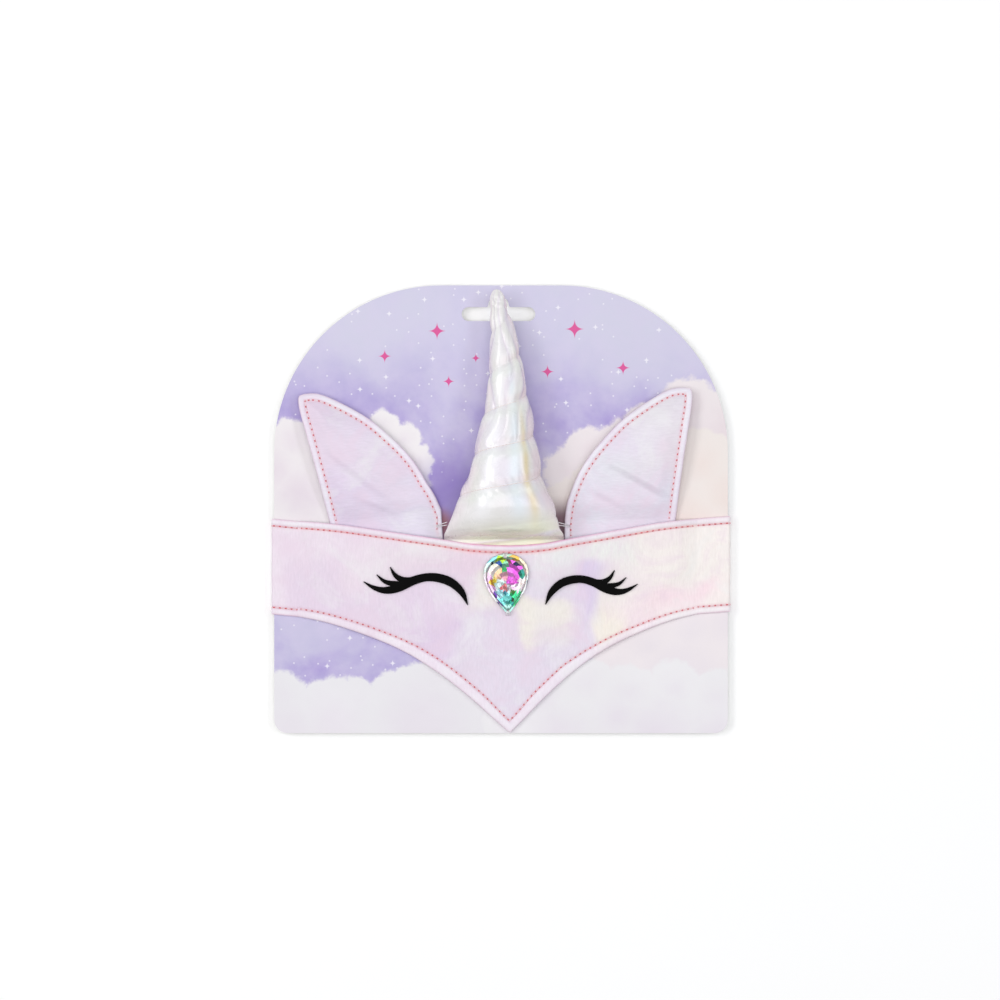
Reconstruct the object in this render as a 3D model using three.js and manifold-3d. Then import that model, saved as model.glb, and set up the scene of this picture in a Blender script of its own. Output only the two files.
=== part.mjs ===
// A child's unicorn headband wrapped round its display card, lying on its back.
// Millimetres. +X runs along the band, +Y runs up the card to its hanging slot, +Z leaves the card's face.
// The origin is on the surface under the middle of the card.
import * as THREE from "three";
import Module from "manifold-3d";
import { mergeVertices } from "three/addons/utils/BufferGeometryUtils.js";

const wasm = await Module();
wasm.setup();

// Display card
const cardWidth = 234;
const cardHeight = 231;
const cardThickness = 1;
const cardShoulderRadius = 86;
const cardCornerRadius = 7;
const slotWidth = 38;
const slotHeight = 7.2;
const slotDomeWidth = 10.6;
const slotDomeRise = 4.4;
const slotFillet = 1.1;
const slotFromTop = 11.2; // card's top edge to the slot's straight upper edge
const slotShift = -1.3; // slot's centre left of the card's

// Cloth band
const clothWall = 1.2; // two layers of satin over a thin interlining
const clearance = 0.3; // between sewn or stacked pieces
const strapWidth = 49.4;
const bandTopFromCardTop = 119.7; // at the card's side edges
const bandTilt = 1.4; // the band sits this much higher on the right
const hemWidth = 3.7; // edge to stitch line
const hemPuff = 0.3; // how far a hem stands proud between its edge and its stitches
const strapFrontLeft = 12; // strap's front leg, from the card's edge to the seam
const strapFrontRight = 16;
const strapSeamFlare = 1.2; // how much lower the strap's hems are at the seam than at the card's edge
const strapBackLength = 48;
const elasticWidth = 40;
const elasticThickness = 1.2;
const elasticLap = 10; // how far the elastic is tucked under each strap's end

// Pointed front panel
const pointX = 4.6; // the point hangs right of the card's centre
const topDip = 14.4; // top edge's dip below its side height
const pointDrop = 61.8; // point below the band's lower side height
const panelLift = 5.4; // the horn and the ears push the top edge off the card
const hemLift = 0.9; // the lower hem's lift off the card
const hemLiftShare = 0.25; // share of the panel beside each seam over which that lift fades out

// Ears
const rightEarWidth = 56.3;
const leftEarWidth = 54.4; // curled more, so it looks narrower
const earHeight = 70.8;
const earWall = 1.4;
const earPadding = 0.9; // extra thickness inside the stitch line
const earTuck = 5; // how far an ear goes down behind the panel's top edge
const earFoot = 0.4; // ear above the card where it is sewn in
const earHidden = 0.03; // share of its height that stays flat beside the panel's edge
const earLift = 3.2; // how far its middle curls off the card
const earCurl = 1.6; // how far the outer edge curls further than the inner
const earBaseBelowBand = 3.8; // below the band's top edge at the card's sides
const earFromHorn = 1.5; // right ear's base to the horn's widest place
const leftEarLean = 7.2; // degrees further out than the right ear
const leftEarShiftX = 1.0; // towards the card's centre
const leftEarShiftY = 1.2;
const leftEarFlare = 3.2; // its inner edge spreads towards the horn at the base
const leftEarFlareShare = 0.27; // share of its height over which that fades out

// Stuffed horn
const hornLength = 128.4;
const hornHalfWidth = 32;
const hornHalfDepth = 15.5;
const hornLean = 3.25; // largest sideways offset of its centre line
const hornSeamFromPanel = 3; // above the panel's top edge at the point
const hornTuck = 5; // tongue sewn in behind the panel
const threadPitch = 20.8;
const threadFirstTurn = 22.6; // first turn on the left flank, above the seam
const threadDent = 1.1;
const threadDentWidth = 2.2;
const pleatCount = 7;
const pleatShare = 0.075; // depth of the gathered folds as a share of the radius
const pleatTwist = 0.9; // turns of the folds over the horn's length

// Sewn-on stone
const gemWidth = 23.4;
const gemLength = 31.3;
const gemHeight = 5.6;
const gemTopFromPanelTop = 4.2;
const gemCentreX = 2.9;
const gemTilt = 3; // degrees, point to the right
const gemHoleRadius = 0.6;
const gemHoleInset = 2.3;

// Film eyelashes
const lashWall = 0.4;
const leftLashWidth = 53.7;
const leftLashHeight = 20;
const rightLashWidth = 47.2;
const rightLashHeight = 18.6;
const rightLashTurn = -1.5; // degrees, tips down
const lashInnerGap = 20; // from the stone's axis to each lash's inner end
const lashInnerBelowSide = 45; // inner end below the band's side height

const cardHalf = cardWidth / 2;
const strapBackBottom = 0;
const elasticBottom = strapBackBottom + clothWall + clearance;
const cardBack = elasticBottom + elasticThickness + clearance;
const cardFace = cardBack + cardThickness;
const clothFront = cardFace + clearance + clothWall; // cloth's outer face where it lies flat
const bandTop = cardHeight / 2 - bandTopFromCardTop;
const earBase = bandTop - earBaseBelowBand;
const rightEarInner = hornHalfWidth + earFromHorn;

// One half of the panel, from its point out to the strap seam. out: share of the way along.
// dip, drop and lift: shares of topDip, pointDrop and panelLift.
const panelTable = [
  { out: 0.0, dip: 1.0, drop: 1.0, lift: 1.0 },
  { out: 0.065, dip: 0.99, drop: 0.9, lift: 1.0 },
  { out: 0.18, dip: 0.93, drop: 0.715, lift: 0.97 },
  { out: 0.33, dip: 0.75, drop: 0.505, lift: 0.87 },
  { out: 0.48, dip: 0.58, drop: 0.335, lift: 0.7 },
  { out: 0.61, dip: 0.43, drop: 0.226, lift: 0.58 },
  { out: 0.79, dip: 0.23, drop: 0.11, lift: 0.54 },
  { out: 0.9, dip: 0.14, drop: 0.055, lift: 0.42 },
  { out: 1.0, dip: 0.08, drop: 0.02, lift: 0.0 },
];

// An ear from its base up. inner and outer: its edges as shares of its width from the base's inner end.
const earTable = [
  { up: 0.0, inner: -0.018, outer: 1.0 },
  { up: 0.137, inner: 0.004, outer: 1.02 },
  { up: 0.266, inner: 0.056, outer: 1.04 },
  { up: 0.382, inner: 0.12, outer: 1.06 },
  { up: 0.51, inner: 0.224, outer: 1.082 },
  { up: 0.626, inner: 0.346, outer: 1.104 },
  { up: 0.755, inner: 0.503, outer: 1.128 },
  { up: 0.85, inner: 0.659, outer: 1.147 },
  { up: 0.929, inner: 0.812, outer: 1.156 },
  { up: 0.97, inner: 0.904, outer: 1.152 },
  { up: 0.992, inner: 0.973, outer: 1.135 },
  { up: 1.0, inner: 1.03, outer: 1.09 },
];

// The horn from its sewn end to its tip. along: share of hornLength above the seam.
// half, depth and lean: shares of hornHalfWidth, hornHalfDepth and hornLean.
// height: centre line above the card in shares of hornHalfDepth. pleats: share of the full fold depth.
const hornTable = [
  { along: -0.04, half: 0.94, depth: 0.11, lean: 0.45, height: 0.22, pleats: 0 },
  { along: 0.0, half: 0.965, depth: 0.13, lean: 0.48, height: 0.24, pleats: 0 },
  { along: 0.018, half: 0.962, depth: 0.42, lean: 0.42, height: 0.52, pleats: 0 },
  { along: 0.046, half: 0.905, depth: 0.72, lean: 0.32, height: 0.8, pleats: 0 },
  { along: 0.092, half: 0.838, depth: 0.92, lean: 0.45, height: 0.98, pleats: 0 },
  { along: 0.146, half: 0.765, depth: 1.0, lean: 0.55, height: 1.05, pleats: 0 },
  { along: 0.202, half: 0.69, depth: 1.0, lean: 0.6, height: 1.05, pleats: 0.1 },
  { along: 0.27, half: 0.598, depth: 0.96, lean: 0.76, height: 1.02, pleats: 0.2 },
  { along: 0.333, half: 0.547, depth: 0.92, lean: 0.88, height: 1.0, pleats: 0.3 },
  { along: 0.4, half: 0.484, depth: 0.84, lean: 0.94, height: 0.95, pleats: 0.5 },
  { along: 0.523, half: 0.381, depth: 0.71, lean: 1.0, height: 0.88, pleats: 0.8 },
  { along: 0.595, half: 0.33, depth: 0.63, lean: 0.95, height: 0.84, pleats: 1 },
  { along: 0.758, half: 0.247, depth: 0.48, lean: 0.62, height: 0.75, pleats: 1 },
  { along: 0.873, half: 0.19, depth: 0.36, lean: 0.06, height: 0.69, pleats: 1 },
  { along: 0.94, half: 0.125, depth: 0.25, lean: -0.4, height: 0.66, pleats: 0.9 },
  { along: 0.968, half: 0.122, depth: 0.24, lean: -0.55, height: 0.65, pleats: 0.6 },
  { along: 0.99, half: 0.085, depth: 0.17, lean: -0.65, height: 0.64, pleats: 0.3 },
  { along: 1.0, half: 0.04, depth: 0.08, lean: -0.7, height: 0.64, pleats: 0 },
];

// The three strokes of a closed eye, root to tip. across: share of the lash's width from its inner end.
// up and half: height and half breadth as shares of the lash's height.
const lashTable = [
  { stroke: "lid", across: 0.0, up: 0.0, half: 0.01 },
  { stroke: "lid", across: 0.058, up: 0.333, half: 0.085 },
  { stroke: "lid", across: 0.163, up: 0.59, half: 0.11 },
  { stroke: "lid", across: 0.288, up: 0.705, half: 0.112 },
  { stroke: "lid", across: 0.404, up: 0.718, half: 0.105 },
  { stroke: "lid", across: 0.529, up: 0.628, half: 0.112 },
  { stroke: "lid", across: 0.644, up: 0.487, half: 0.12 },
  { stroke: "lid", across: 0.74, up: 0.4, half: 0.1 },
  { stroke: "lid", across: 0.827, up: 0.397, half: 0.078 },
  { stroke: "lid", across: 0.913, up: 0.474, half: 0.05 },
  { stroke: "lid", across: 1.0, up: 0.615, half: 0.01 },
  { stroke: "middle", across: 0.6, up: 0.52, half: 0.09 },
  { stroke: "middle", across: 0.71, up: 0.555, half: 0.075 },
  { stroke: "middle", across: 0.8, up: 0.62, half: 0.05 },
  { stroke: "middle", across: 0.875, up: 0.795, half: 0.01 },
  { stroke: "top", across: 0.5, up: 0.64, half: 0.09 },
  { stroke: "top", across: 0.62, up: 0.65, half: 0.082 },
  { stroke: "top", across: 0.697, up: 0.775, half: 0.055 },
  { stroke: "top", across: 0.745, up: 0.99, half: 0.01 },
];

const clamp = (value, low, high) => Math.min(high, Math.max(low, value));
const mix = (a, b, share) => a + (b - a) * share;

// A table's column at a place, joined by a smooth curve that doesn't overshoot its rows.
function fromTable(table, key, column, place) {
  const last = table.length - 1;
  const x = clamp(place, table[0][key], table[last][key]);
  let k = 0;
  while (k < last - 1 && x > table[k + 1][key]) k += 1;
  const slope = (i) =>
    (table[i + 1][column] - table[i][column]) / (table[i + 1][key] - table[i][key]);
  const tangent = (i) => {
    if (i === 0) return slope(0);
    if (i === last) return slope(last - 1);
    const before = slope(i - 1);
    const after = slope(i);
    return before * after <= 0 ? 0 : (2 * before * after) / (before + after);
  };
  const span = table[k + 1][key] - table[k][key];
  const t = (x - table[k][key]) / span;
  const t2 = t * t;
  const t3 = t2 * t;
  return (
    (2 * t3 - 3 * t2 + 1) * table[k][column] +
    (t3 - 2 * t2 + t) * span * tangent(k) +
    (3 * t2 - 2 * t3) * table[k + 1][column] +
    (t3 - t2) * span * tangent(k + 1)
  );
}

function geometryFrom(points, triangles) {
  const geometry = new THREE.BufferGeometry();
  geometry.setAttribute(
    "position",
    new THREE.Float32BufferAttribute(points.flatMap((p) => p.toArray()), 3),
  );
  geometry.setIndex(triangles);
  geometry.computeVertexNormals();
  return geometry;
}

// A closed sheet with a front, a back and walls round its edge. pointAt(column, row, front) gives each
// corner, with columns counted towards +X and rows towards -Y.
function sheet(columns, rows, pointAt) {
  const points = [];
  for (const front of [true, false])
    for (let row = 0; row <= rows; row += 1)
      for (let column = 0; column <= columns; column += 1)
        points.push(pointAt(column, row, front));
  const at = (column, row, front) =>
    (front ? 0 : (columns + 1) * (rows + 1)) + row * (columns + 1) + column;
  const triangles = [];
  const quad = (a, b, c, d) => triangles.push(a, b, c, a, c, d);
  for (let row = 0; row < rows; row += 1)
    for (let column = 0; column < columns; column += 1) {
      const corners = [[0, 0], [0, 1], [1, 1], [1, 0]];
      const face = (front) => corners.map(([i, j]) => at(column + i, row + j, front));
      quad(...face(true));
      quad(...face(false).reverse());
    }
  const rim = [];
  for (let row = 0; row < rows; row += 1) rim.push([0, row]);
  for (let column = 0; column < columns; column += 1) rim.push([column, rows]);
  for (let row = rows; row > 0; row -= 1) rim.push([columns, row]);
  for (let column = columns; column > 0; column -= 1) rim.push([column, 0]);
  rim.forEach(([column, row], k) => {
    const [nextColumn, nextRow] = rim[(k + 1) % rim.length];
    quad(
      at(column, row, true),
      at(column, row, false),
      at(nextColumn, nextRow, false),
      at(nextColumn, nextRow, true),
    );
  });
  return geometryFrom(points, triangles);
}

// A closed skin over rings of points, each ring running from +X towards +Z, with a fan over each end.
function skin(rings) {
  const count = rings[0].length;
  const points = rings.flat();
  const triangles = [];
  for (let ring = 0; ring < rings.length - 1; ring += 1)
    for (let k = 0; k < count; k += 1) {
      const next = (k + 1) % count;
      const a = ring * count + k;
      const b = ring * count + next;
      triangles.push(a, a + count, b + count, a, b + count, b);
    }
  for (const [ring, outward] of [[0, false], [rings.length - 1, true]]) {
    const middle = new THREE.Vector3();
    rings[ring].forEach((p) => middle.addScaledVector(p, 1 / count));
    points.push(middle);
    for (let k = 0; k < count; k += 1) {
      const a = ring * count + k;
      const b = ring * count + ((k + 1) % count);
      triangles.push(points.length - 1, ...(outward ? [b, a] : [a, b]));
    }
  }
  return geometryFrom(points, triangles);
}

function toManifold(geometry) {
  const bare = geometry.clone();
  bare.deleteAttribute("normal");
  bare.deleteAttribute("uv");
  const merged = mergeVertices(bare, 1e-4);
  return new wasm.Manifold(
    new wasm.Mesh({
      numProp: 3,
      vertProperties: merged.attributes.position.array,
      triVerts: new Uint32Array(merged.index.array),
    }),
  );
}

function fromManifold(solid) {
  const mesh = solid.getMesh();
  const geometry = new THREE.BufferGeometry();
  geometry.setAttribute("position", new THREE.BufferAttribute(mesh.vertProperties, 3));
  geometry.setIndex(new THREE.BufferAttribute(mesh.triVerts, 1));
  geometry.computeVertexNormals();
  return geometry;
}

function piece(name, geometry, color, roughness, metalness = 0) {
  const mesh = new THREE.Mesh(
    geometry,
    new THREE.MeshStandardMaterial({ color, roughness, metalness }),
  );
  mesh.name = name;
  return mesh;
}

// Display card: two large shoulder arcs that run smoothly into the flat top, and small lower corners.
function cardOutline() {
  const half = cardHalf;
  const low = -cardHeight / 2;
  const high = cardHeight / 2;
  const shoulderX = half - cardShoulderRadius;
  const shoulderY = high - cardShoulderRadius;
  const corner = cardCornerRadius;
  const shape = new THREE.Shape();
  shape.moveTo(-half + corner, low);
  shape.lineTo(half - corner, low);
  shape.absarc(half - corner, low + corner, corner, -Math.PI / 2, 0, false);
  shape.absarc(shoulderX, shoulderY, cardShoulderRadius, 0, Math.PI / 2, false);
  shape.absarc(-shoulderX, shoulderY, cardShoulderRadius, Math.PI / 2, Math.PI, false);
  shape.absarc(-half + corner, low + corner, corner, Math.PI, Math.PI * 1.5, false);
  return shape;
}

// Hanging slot: a round-ended bar with a dome in the middle of its upper edge.
function slotOutline() {
  const top = cardHeight / 2 - slotFromTop;
  const endRadius = slotHeight / 2;
  const endX = slotWidth / 2 - endRadius;
  const domeHalf = slotDomeWidth / 2;
  const hole = new THREE.Path();
  hole.moveTo(slotShift - endX, top - slotHeight);
  hole.lineTo(slotShift + endX, top - slotHeight);
  hole.absarc(slotShift + endX, top - endRadius, endRadius, -Math.PI / 2, Math.PI / 2, false);
  hole.lineTo(slotShift + domeHalf + slotFillet, top);
  hole.absarc(
    slotShift + domeHalf + slotFillet,
    top + slotFillet,
    slotFillet,
    -Math.PI / 2,
    -Math.PI,
    true,
  );
  hole.absellipse(slotShift, top + slotFillet, domeHalf, slotDomeRise, 0, Math.PI, false);
  hole.absarc(
    slotShift - domeHalf - slotFillet,
    top + slotFillet,
    slotFillet,
    0,
    -Math.PI / 2,
    true,
  );
  hole.lineTo(slotShift - endX, top);
  hole.absarc(slotShift - endX, top - endRadius, endRadius, Math.PI / 2, Math.PI * 1.5, false);
  return hole;
}

function makeCard() {
  const outline = cardOutline();
  outline.holes.push(slotOutline());
  const geometry = new THREE.ExtrudeGeometry(outline, {
    depth: cardThickness,
    bevelEnabled: false,
    curveSegments: 20,
  });
  const card = piece("card", geometry, "#d6cdea", 0.55);
  card.position.z = cardBack;
  return card;
}

// Half of the panel's length on one side of its point.
const panelReach = (side) =>
  side > 0
    ? cardHalf - strapFrontRight - clearance / 2 - pointX
    : cardHalf - strapFrontLeft - clearance / 2 + pointX;

const tiltAt = (x) => (bandTilt * x) / cardWidth;

// The panel at a place across it: signed share of the way from its point to a seam.
function panelEdges(share) {
  const side = share < 0 ? -1 : 1;
  const out = Math.abs(share);
  const x = pointX + share * panelReach(side);
  const top = bandTop + tiltAt(x) - topDip * fromTable(panelTable, "out", "dip", out);
  const bottom =
    bandTop + tiltAt(x) - strapWidth - pointDrop * fromTable(panelTable, "out", "drop", out);
  return { x, top, bottom, out };
}

// Height of the panel's outer face above the surface that the card lies on.
function panelFace(out, down) {
  const fade = clamp((1 - out) / hemLiftShare, 0, 1);
  const settle = 1.4; // how quickly the lift dies away down the panel
  const pushed = panelLift * fromTable(panelTable, "out", "lift", out) * (1 - down) ** settle;
  return clothFront + pushed + hemLift * fade * down;
}

function panelShareAt(x) {
  return (x - pointX) / panelReach(x < pointX ? -1 : 1);
}

function panelFaceAt(x, y) {
  const { top, bottom, out } = panelEdges(panelShareAt(x));
  return panelFace(out, clamp((top - y) / (top - bottom), 0, 1));
}

function makeFrontPanel() {
  const columnsPerSide = 18;
  const bodyRows = 6;
  const hemRows = 2;
  const rows = bodyRows + 2 * hemRows;
  const rowAt = (row, height) => {
    if (row <= hemRows) return (row / hemRows) * hemWidth;
    if (row >= rows - hemRows) return height - ((rows - row) / hemRows) * hemWidth;
    return mix(hemWidth, height - hemWidth, (row - hemRows) / bodyRows);
  };
  const geometry = sheet(2 * columnsPerSide, rows, (column, row, front) => {
    const { x, top, bottom, out } = panelEdges(column / columnsPerSide - 1);
    const down = rowAt(row, top - bottom);
    const z = panelFace(out, down / (top - bottom));
    const puff = row === 1 || row === rows - 1 ? hemPuff : 0;
    return new THREE.Vector3(x, top - down, front ? z + puff : z - clothWall);
  });
  return piece("front_panel", geometry, "#ecdcec", 0.45);
}

// A strap turns round one of the card's edges. Its section runs from the seam on the front, round the edge
// in two small bends, to its end behind the card.
function makeStrap(side) {
  const frontLength = side > 0 ? strapFrontRight : strapFrontLeft;
  const bendRadius = clearance + clothWall;
  const seamX = cardHalf - frontLength + clearance / 2;
  const bendSteps = 4;
  const backSteps = 4;
  const section = [{ x: seamX, z: clothFront, inX: 0, inZ: -1 }];
  const bend = (centreZ, from) => {
    for (let k = 0; k <= bendSteps; k += 1) {
      const angle = from - (Math.PI * k) / (2 * bendSteps);
      section.push({
        x: cardHalf + bendRadius * Math.cos(angle),
        z: centreZ + bendRadius * Math.sin(angle),
        inX: -Math.cos(angle),
        inZ: -Math.sin(angle),
      });
    }
  };
  bend(cardFace, Math.PI / 2);
  bend(strapBackBottom + bendRadius, 0);
  for (let k = 1; k <= backSteps; k += 1)
    section.push({
      x: cardHalf - (strapBackLength * k) / backSteps,
      z: strapBackBottom,
      inX: 0,
      inZ: 1,
    });
  const bodyRows = 2;
  const rows = bodyRows + 4;
  const hemStops = [0, 0.5, 1];
  const geometry = sheet(section.length - 1, rows, (column, row, front) => {
    const station = section[side > 0 ? column : section.length - 1 - column];
    const isFront = station.z === clothFront;
    const flare = isFront ? strapSeamFlare * clamp((cardHalf - station.x) / frontLength, 0, 1) : 0;
    const top = bandTop + tiltAt(side * cardHalf) - flare;
    const down =
      row <= 2
        ? hemStops[row] * hemWidth
        : row >= rows - 2
          ? strapWidth - hemStops[rows - row] * hemWidth
          : strapWidth * 0.5;
    const inset = front ? 0 : clothWall;
    return new THREE.Vector3(
      side * (station.x + station.inX * inset),
      top - down,
      station.z + station.inZ * inset,
    );
  });
  return piece(side > 0 ? "strap_right" : "strap_left", geometry, "#ecdcec", 0.45);
}

function makeElastic() {
  const reach = cardHalf - strapBackLength + elasticLap;
  const geometry = new THREE.BoxGeometry(2 * reach, elasticWidth, elasticThickness);
  const elastic = piece("back_elastic", geometry, "#f3eef3", 0.8);
  elastic.position.set(0, bandTop - strapWidth / 2, elasticBottom + elasticThickness / 2);
  return elastic;
}

// A place in an ear's outline, on the card. across runs from the inner edge to the outer, up from the base.
function earPlace(side, across, up) {
  const earWidth = side > 0 ? rightEarWidth : leftEarWidth;
  const flare = side < 0 ? leftEarFlare * clamp(1 - up / leftEarFlareShare, 0, 1) ** 1.2 : 0;
  const inner = fromTable(earTable, "up", "inner", up) * earWidth - flare;
  const outer = fromTable(earTable, "up", "outer", up) * earWidth;
  const localX = mix(inner, outer, across);
  const localY = up * earHeight;
  if (side > 0) return { x: rightEarInner + localX, y: earBase + localY };
  const lean = (leftEarLean * Math.PI) / 180;
  const fromMiddle = localX - earWidth / 2;
  const x = fromMiddle * Math.cos(lean) + localY * Math.sin(lean);
  const y = localY * Math.cos(lean) - fromMiddle * Math.sin(lean);
  return {
    x: -(rightEarInner + rightEarWidth / 2 - leftEarShiftX + x),
    y: earBase + leftEarShiftY + y,
  };
}

function makeEar(side) {
  const acrossStops = [0, 0.04, 0.08, 0.2, 0.4, 0.6, 0.8, 0.92, 0.96, 1];
  const upStops = [1, 0.992, 0.97, 0.929, 0.88, 0.8, 0.7, 0.6, 0.5, 0.4, 0.3, 0.2, 0.1, 0.05, 0];
  const columns = acrossStops.length - 1;
  const rows = upStops.length - 1;
  const rim = 0.06; // share of the ear's breadth that the stitched rim takes
  const swell = 0.12; // share of its height over which the padding swells above the panel
  const curlEnd = 0.8; // the curl rises to its most at 0.5 / curlEnd and falls again towards the tip
  const geometry = sheet(columns, rows, (column, row, front) => {
    const across = acrossStops[side > 0 ? column : columns - column];
    const up = upStops[row];
    const place = earPlace(side, across, up);
    if (row === rows) {
      const seamTop = panelEdges(panelShareAt(place.x)).top;
      place.y = seamTop - earTuck;
    }
    const inside = clamp(Math.min(across, 1 - across, 1 - up) / rim, 0, 1);
    const free = clamp((up - earHidden) / (1 - earHidden), 0, 1); // clear of the panel
    const pad = earPadding * inside * clamp(free / swell, 0, 1);
    const curl = (earLift + earCurl * across) * Math.sin(Math.PI * curlEnd * free);
    const low = cardFace + earFoot + curl;
    return new THREE.Vector3(place.x, place.y, front ? low + earWall + pad : low);
  });
  return piece(side > 0 ? "ear_right" : "ear_left", geometry, "#e4d8e9", 0.45);
}

const hornSeam = panelEdges(0).top + hornSeamFromPanel;

// Distance along the horn from a place to the nearest turn of its thread.
function threadDistance(along, angle) {
  const turn = (along - threadFirstTurn) / threadPitch - (Math.PI - angle) / (2 * Math.PI);
  return Math.abs(turn - Math.round(turn)) * threadPitch;
}

// The horn's skin. angle runs from +X over the front, away from the card.
function hornPlace(along, angle) {
  const share = along / hornLength;
  const read = (column) => fromTable(hornTable, "along", column, share);
  const threadFade = 0.07; // share of the horn at each end over which the thread's dent fades out
  const wound = clamp(share / threadFade, 0, 1) * clamp((1 - share) / threadFade, 0, 1);
  const dent = threadDent * wound * Math.exp(-((threadDistance(along, angle) / threadDentWidth) ** 2));
  const folds = Math.abs(Math.sin((pleatCount * angle) / 2 + Math.PI * pleatTwist * share * pleatCount));
  const gather = 1 - pleatShare * read("pleats") * (1 - folds);
  const half = hornHalfWidth * read("half") * gather;
  const depth = hornHalfDepth * read("depth") * gather;
  return new THREE.Vector3(
    hornLean * read("lean") + Math.max(half - dent, half / 2) * Math.cos(angle),
    hornSeam + along,
    cardFace + hornHalfDepth * read("height") + Math.max(depth - dent, depth / 2) * Math.sin(angle),
  );
}

function makeHorn() {
  const around = 28;
  const ringSpacing = 2.1;
  const stations = [-hornTuck, 0.4, 2.3, 4, 6];
  const bodyStart = stations.at(-1);
  const bodyEnd = hornLength - 2;
  const bodyRings = Math.round((bodyEnd - bodyStart) / ringSpacing);
  for (let k = 1; k <= bodyRings; k += 1) stations.push(mix(bodyStart, bodyEnd, k / bodyRings));
  stations.push(hornLength - 0.8, hornLength);
  const rings = stations.map((along) =>
    Array.from({ length: around }, (_, k) => hornPlace(along, (2 * Math.PI * k) / around)),
  );
  return piece("horn", skin(rings), "#f3f0ee", 0.25);
}

// The stone's rings of corners from its flat back to its table. sides: corners in the ring. turn: how many
// corners it is turned by. size: its share of the full outline. height: share of gemHeight.
const gemTable = [
  { sides: 16, turn: 0, size: 1, height: 0 },
  { sides: 16, turn: 0, size: 1, height: 0.18 },
  { sides: 16, turn: 0, size: 0.84, height: 0.4 },
  { sides: 8, turn: 0.5, size: 0.62, height: 0.84 },
  { sides: 8, turn: 0, size: 0.36, height: 1 },
];

// A teardrop ring of a stone, round end up. size scales it about the stone's middle.
function gemRing(count, turn, size, z) {
  const roundEnd = 0.77; // widest value of sin(a) * sin(a / 2)
  return Array.from({ length: count }, (_, k) => {
    const angle = (2 * Math.PI * (k + turn)) / count;
    const x = ((gemWidth / 2) * Math.sin(angle) * Math.sin(angle / 2)) / roundEnd;
    return new THREE.Vector3(x * size, (-gemLength / 2) * Math.cos(angle) * size, z);
  });
}

// Joins the stone's rings with flat facets. The crown's upper rings have half as many corners as its lower.
function makeGem() {
  const rings = gemTable.map((row) => gemRing(row.sides, row.turn, row.size, row.height * gemHeight));
  const sides = rings[0].length;
  const starts = rings.map((_, k) => rings.slice(0, k).reduce((sum, r) => sum + r.length, 0));
  const points = rings.flat();
  const triangles = [];
  for (let k = 0; k < sides; k += 1) {
    const next = (k + 1) % sides;
    for (const ring of [0, 1]) {
      const [low, high] = [starts[ring], starts[ring + 1]];
      triangles.push(low + k, low + next, high + next, low + k, high + next, high + k);
    }
  }
  for (let k = 0; k < sides / 2; k += 1) {
    const next = (k + 1) % (sides / 2);
    const [crown, upper, table] = [starts[2], starts[3], starts[4]];
    const corner = crown + 2 * k;
    const middle = crown + 2 * k + 1;
    const after = crown + ((2 * k + 2) % sides);
    triangles.push(corner, middle, upper + k, middle, after, upper + k);
    triangles.push(after, upper + next, upper + k);
    triangles.push(upper + k, upper + next, table + next);
    triangles.push(table + k, upper + k, table + next);
  }
  for (let k = 1; k < sides - 1; k += 1) triangles.push(0, k + 1, k);
  for (let k = 1; k < sides / 2 - 1; k += 1)
    triangles.push(starts[4], starts[4] + k, starts[4] + k + 1);
  let stone = toManifold(geometryFrom(points, triangles));
  for (const end of [-1, 1]) {
    const drill = new THREE.CylinderGeometry(gemHoleRadius, gemHoleRadius, 3 * gemHeight, 8);
    drill.rotateX(Math.PI / 2);
    drill.translate(0, end * (gemLength / 2 - gemHoleInset), 0);
    stone = stone.subtract(toManifold(drill));
  }
  return piece("gem", fromManifold(stone), "#a9e3dc", 0.1);
}

// Lays the stone on the panel, turned to the panel's slope there.
function seatGem(gem) {
  const topEdge = panelEdges(panelShareAt(gemCentreX)).top;
  const centreY = topEdge - gemTopFromPanelTop - gemLength / 2;
  const reach = gemLength / 2;
  const rise = panelFaceAt(gemCentreX, centreY + reach) - panelFaceAt(gemCentreX, centreY - reach);
  const seat = new THREE.Group();
  seat.position.set(gemCentreX, centreY, panelFaceAt(gemCentreX, centreY) + clearance);
  seat.rotation.x = Math.atan2(rise, gemLength);
  gem.rotation.z = (gemTilt * Math.PI) / 180;
  seat.add(gem);
  return seat;
}

// One tapering stroke of a lash as a flat plate.
function strokePlate(stroke, width, height) {
  const rows = lashTable.filter((row) => row.stroke === stroke);
  const line = new THREE.CatmullRomCurve3(
    rows.map((row) => new THREE.Vector3(row.across * width, row.up * height, row.half * height)),
  );
  const steps = (rows.length - 1) * 3;
  const left = [];
  const right = [];
  for (let k = 0; k <= steps; k += 1) {
    const point = line.getPoint(k / steps);
    const along = line.getTangent(k / steps);
    const length = Math.hypot(along.x, along.y);
    const sideX = (-along.y / length) * point.z;
    const sideY = (along.x / length) * point.z;
    left.push(new THREE.Vector2(point.x + sideX, point.y + sideY));
    right.unshift(new THREE.Vector2(point.x - sideX, point.y - sideY));
  }
  return new THREE.ExtrudeGeometry(new THREE.Shape([...left, ...right]), {
    depth: lashWall,
    bevelEnabled: false,
  });
}

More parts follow.
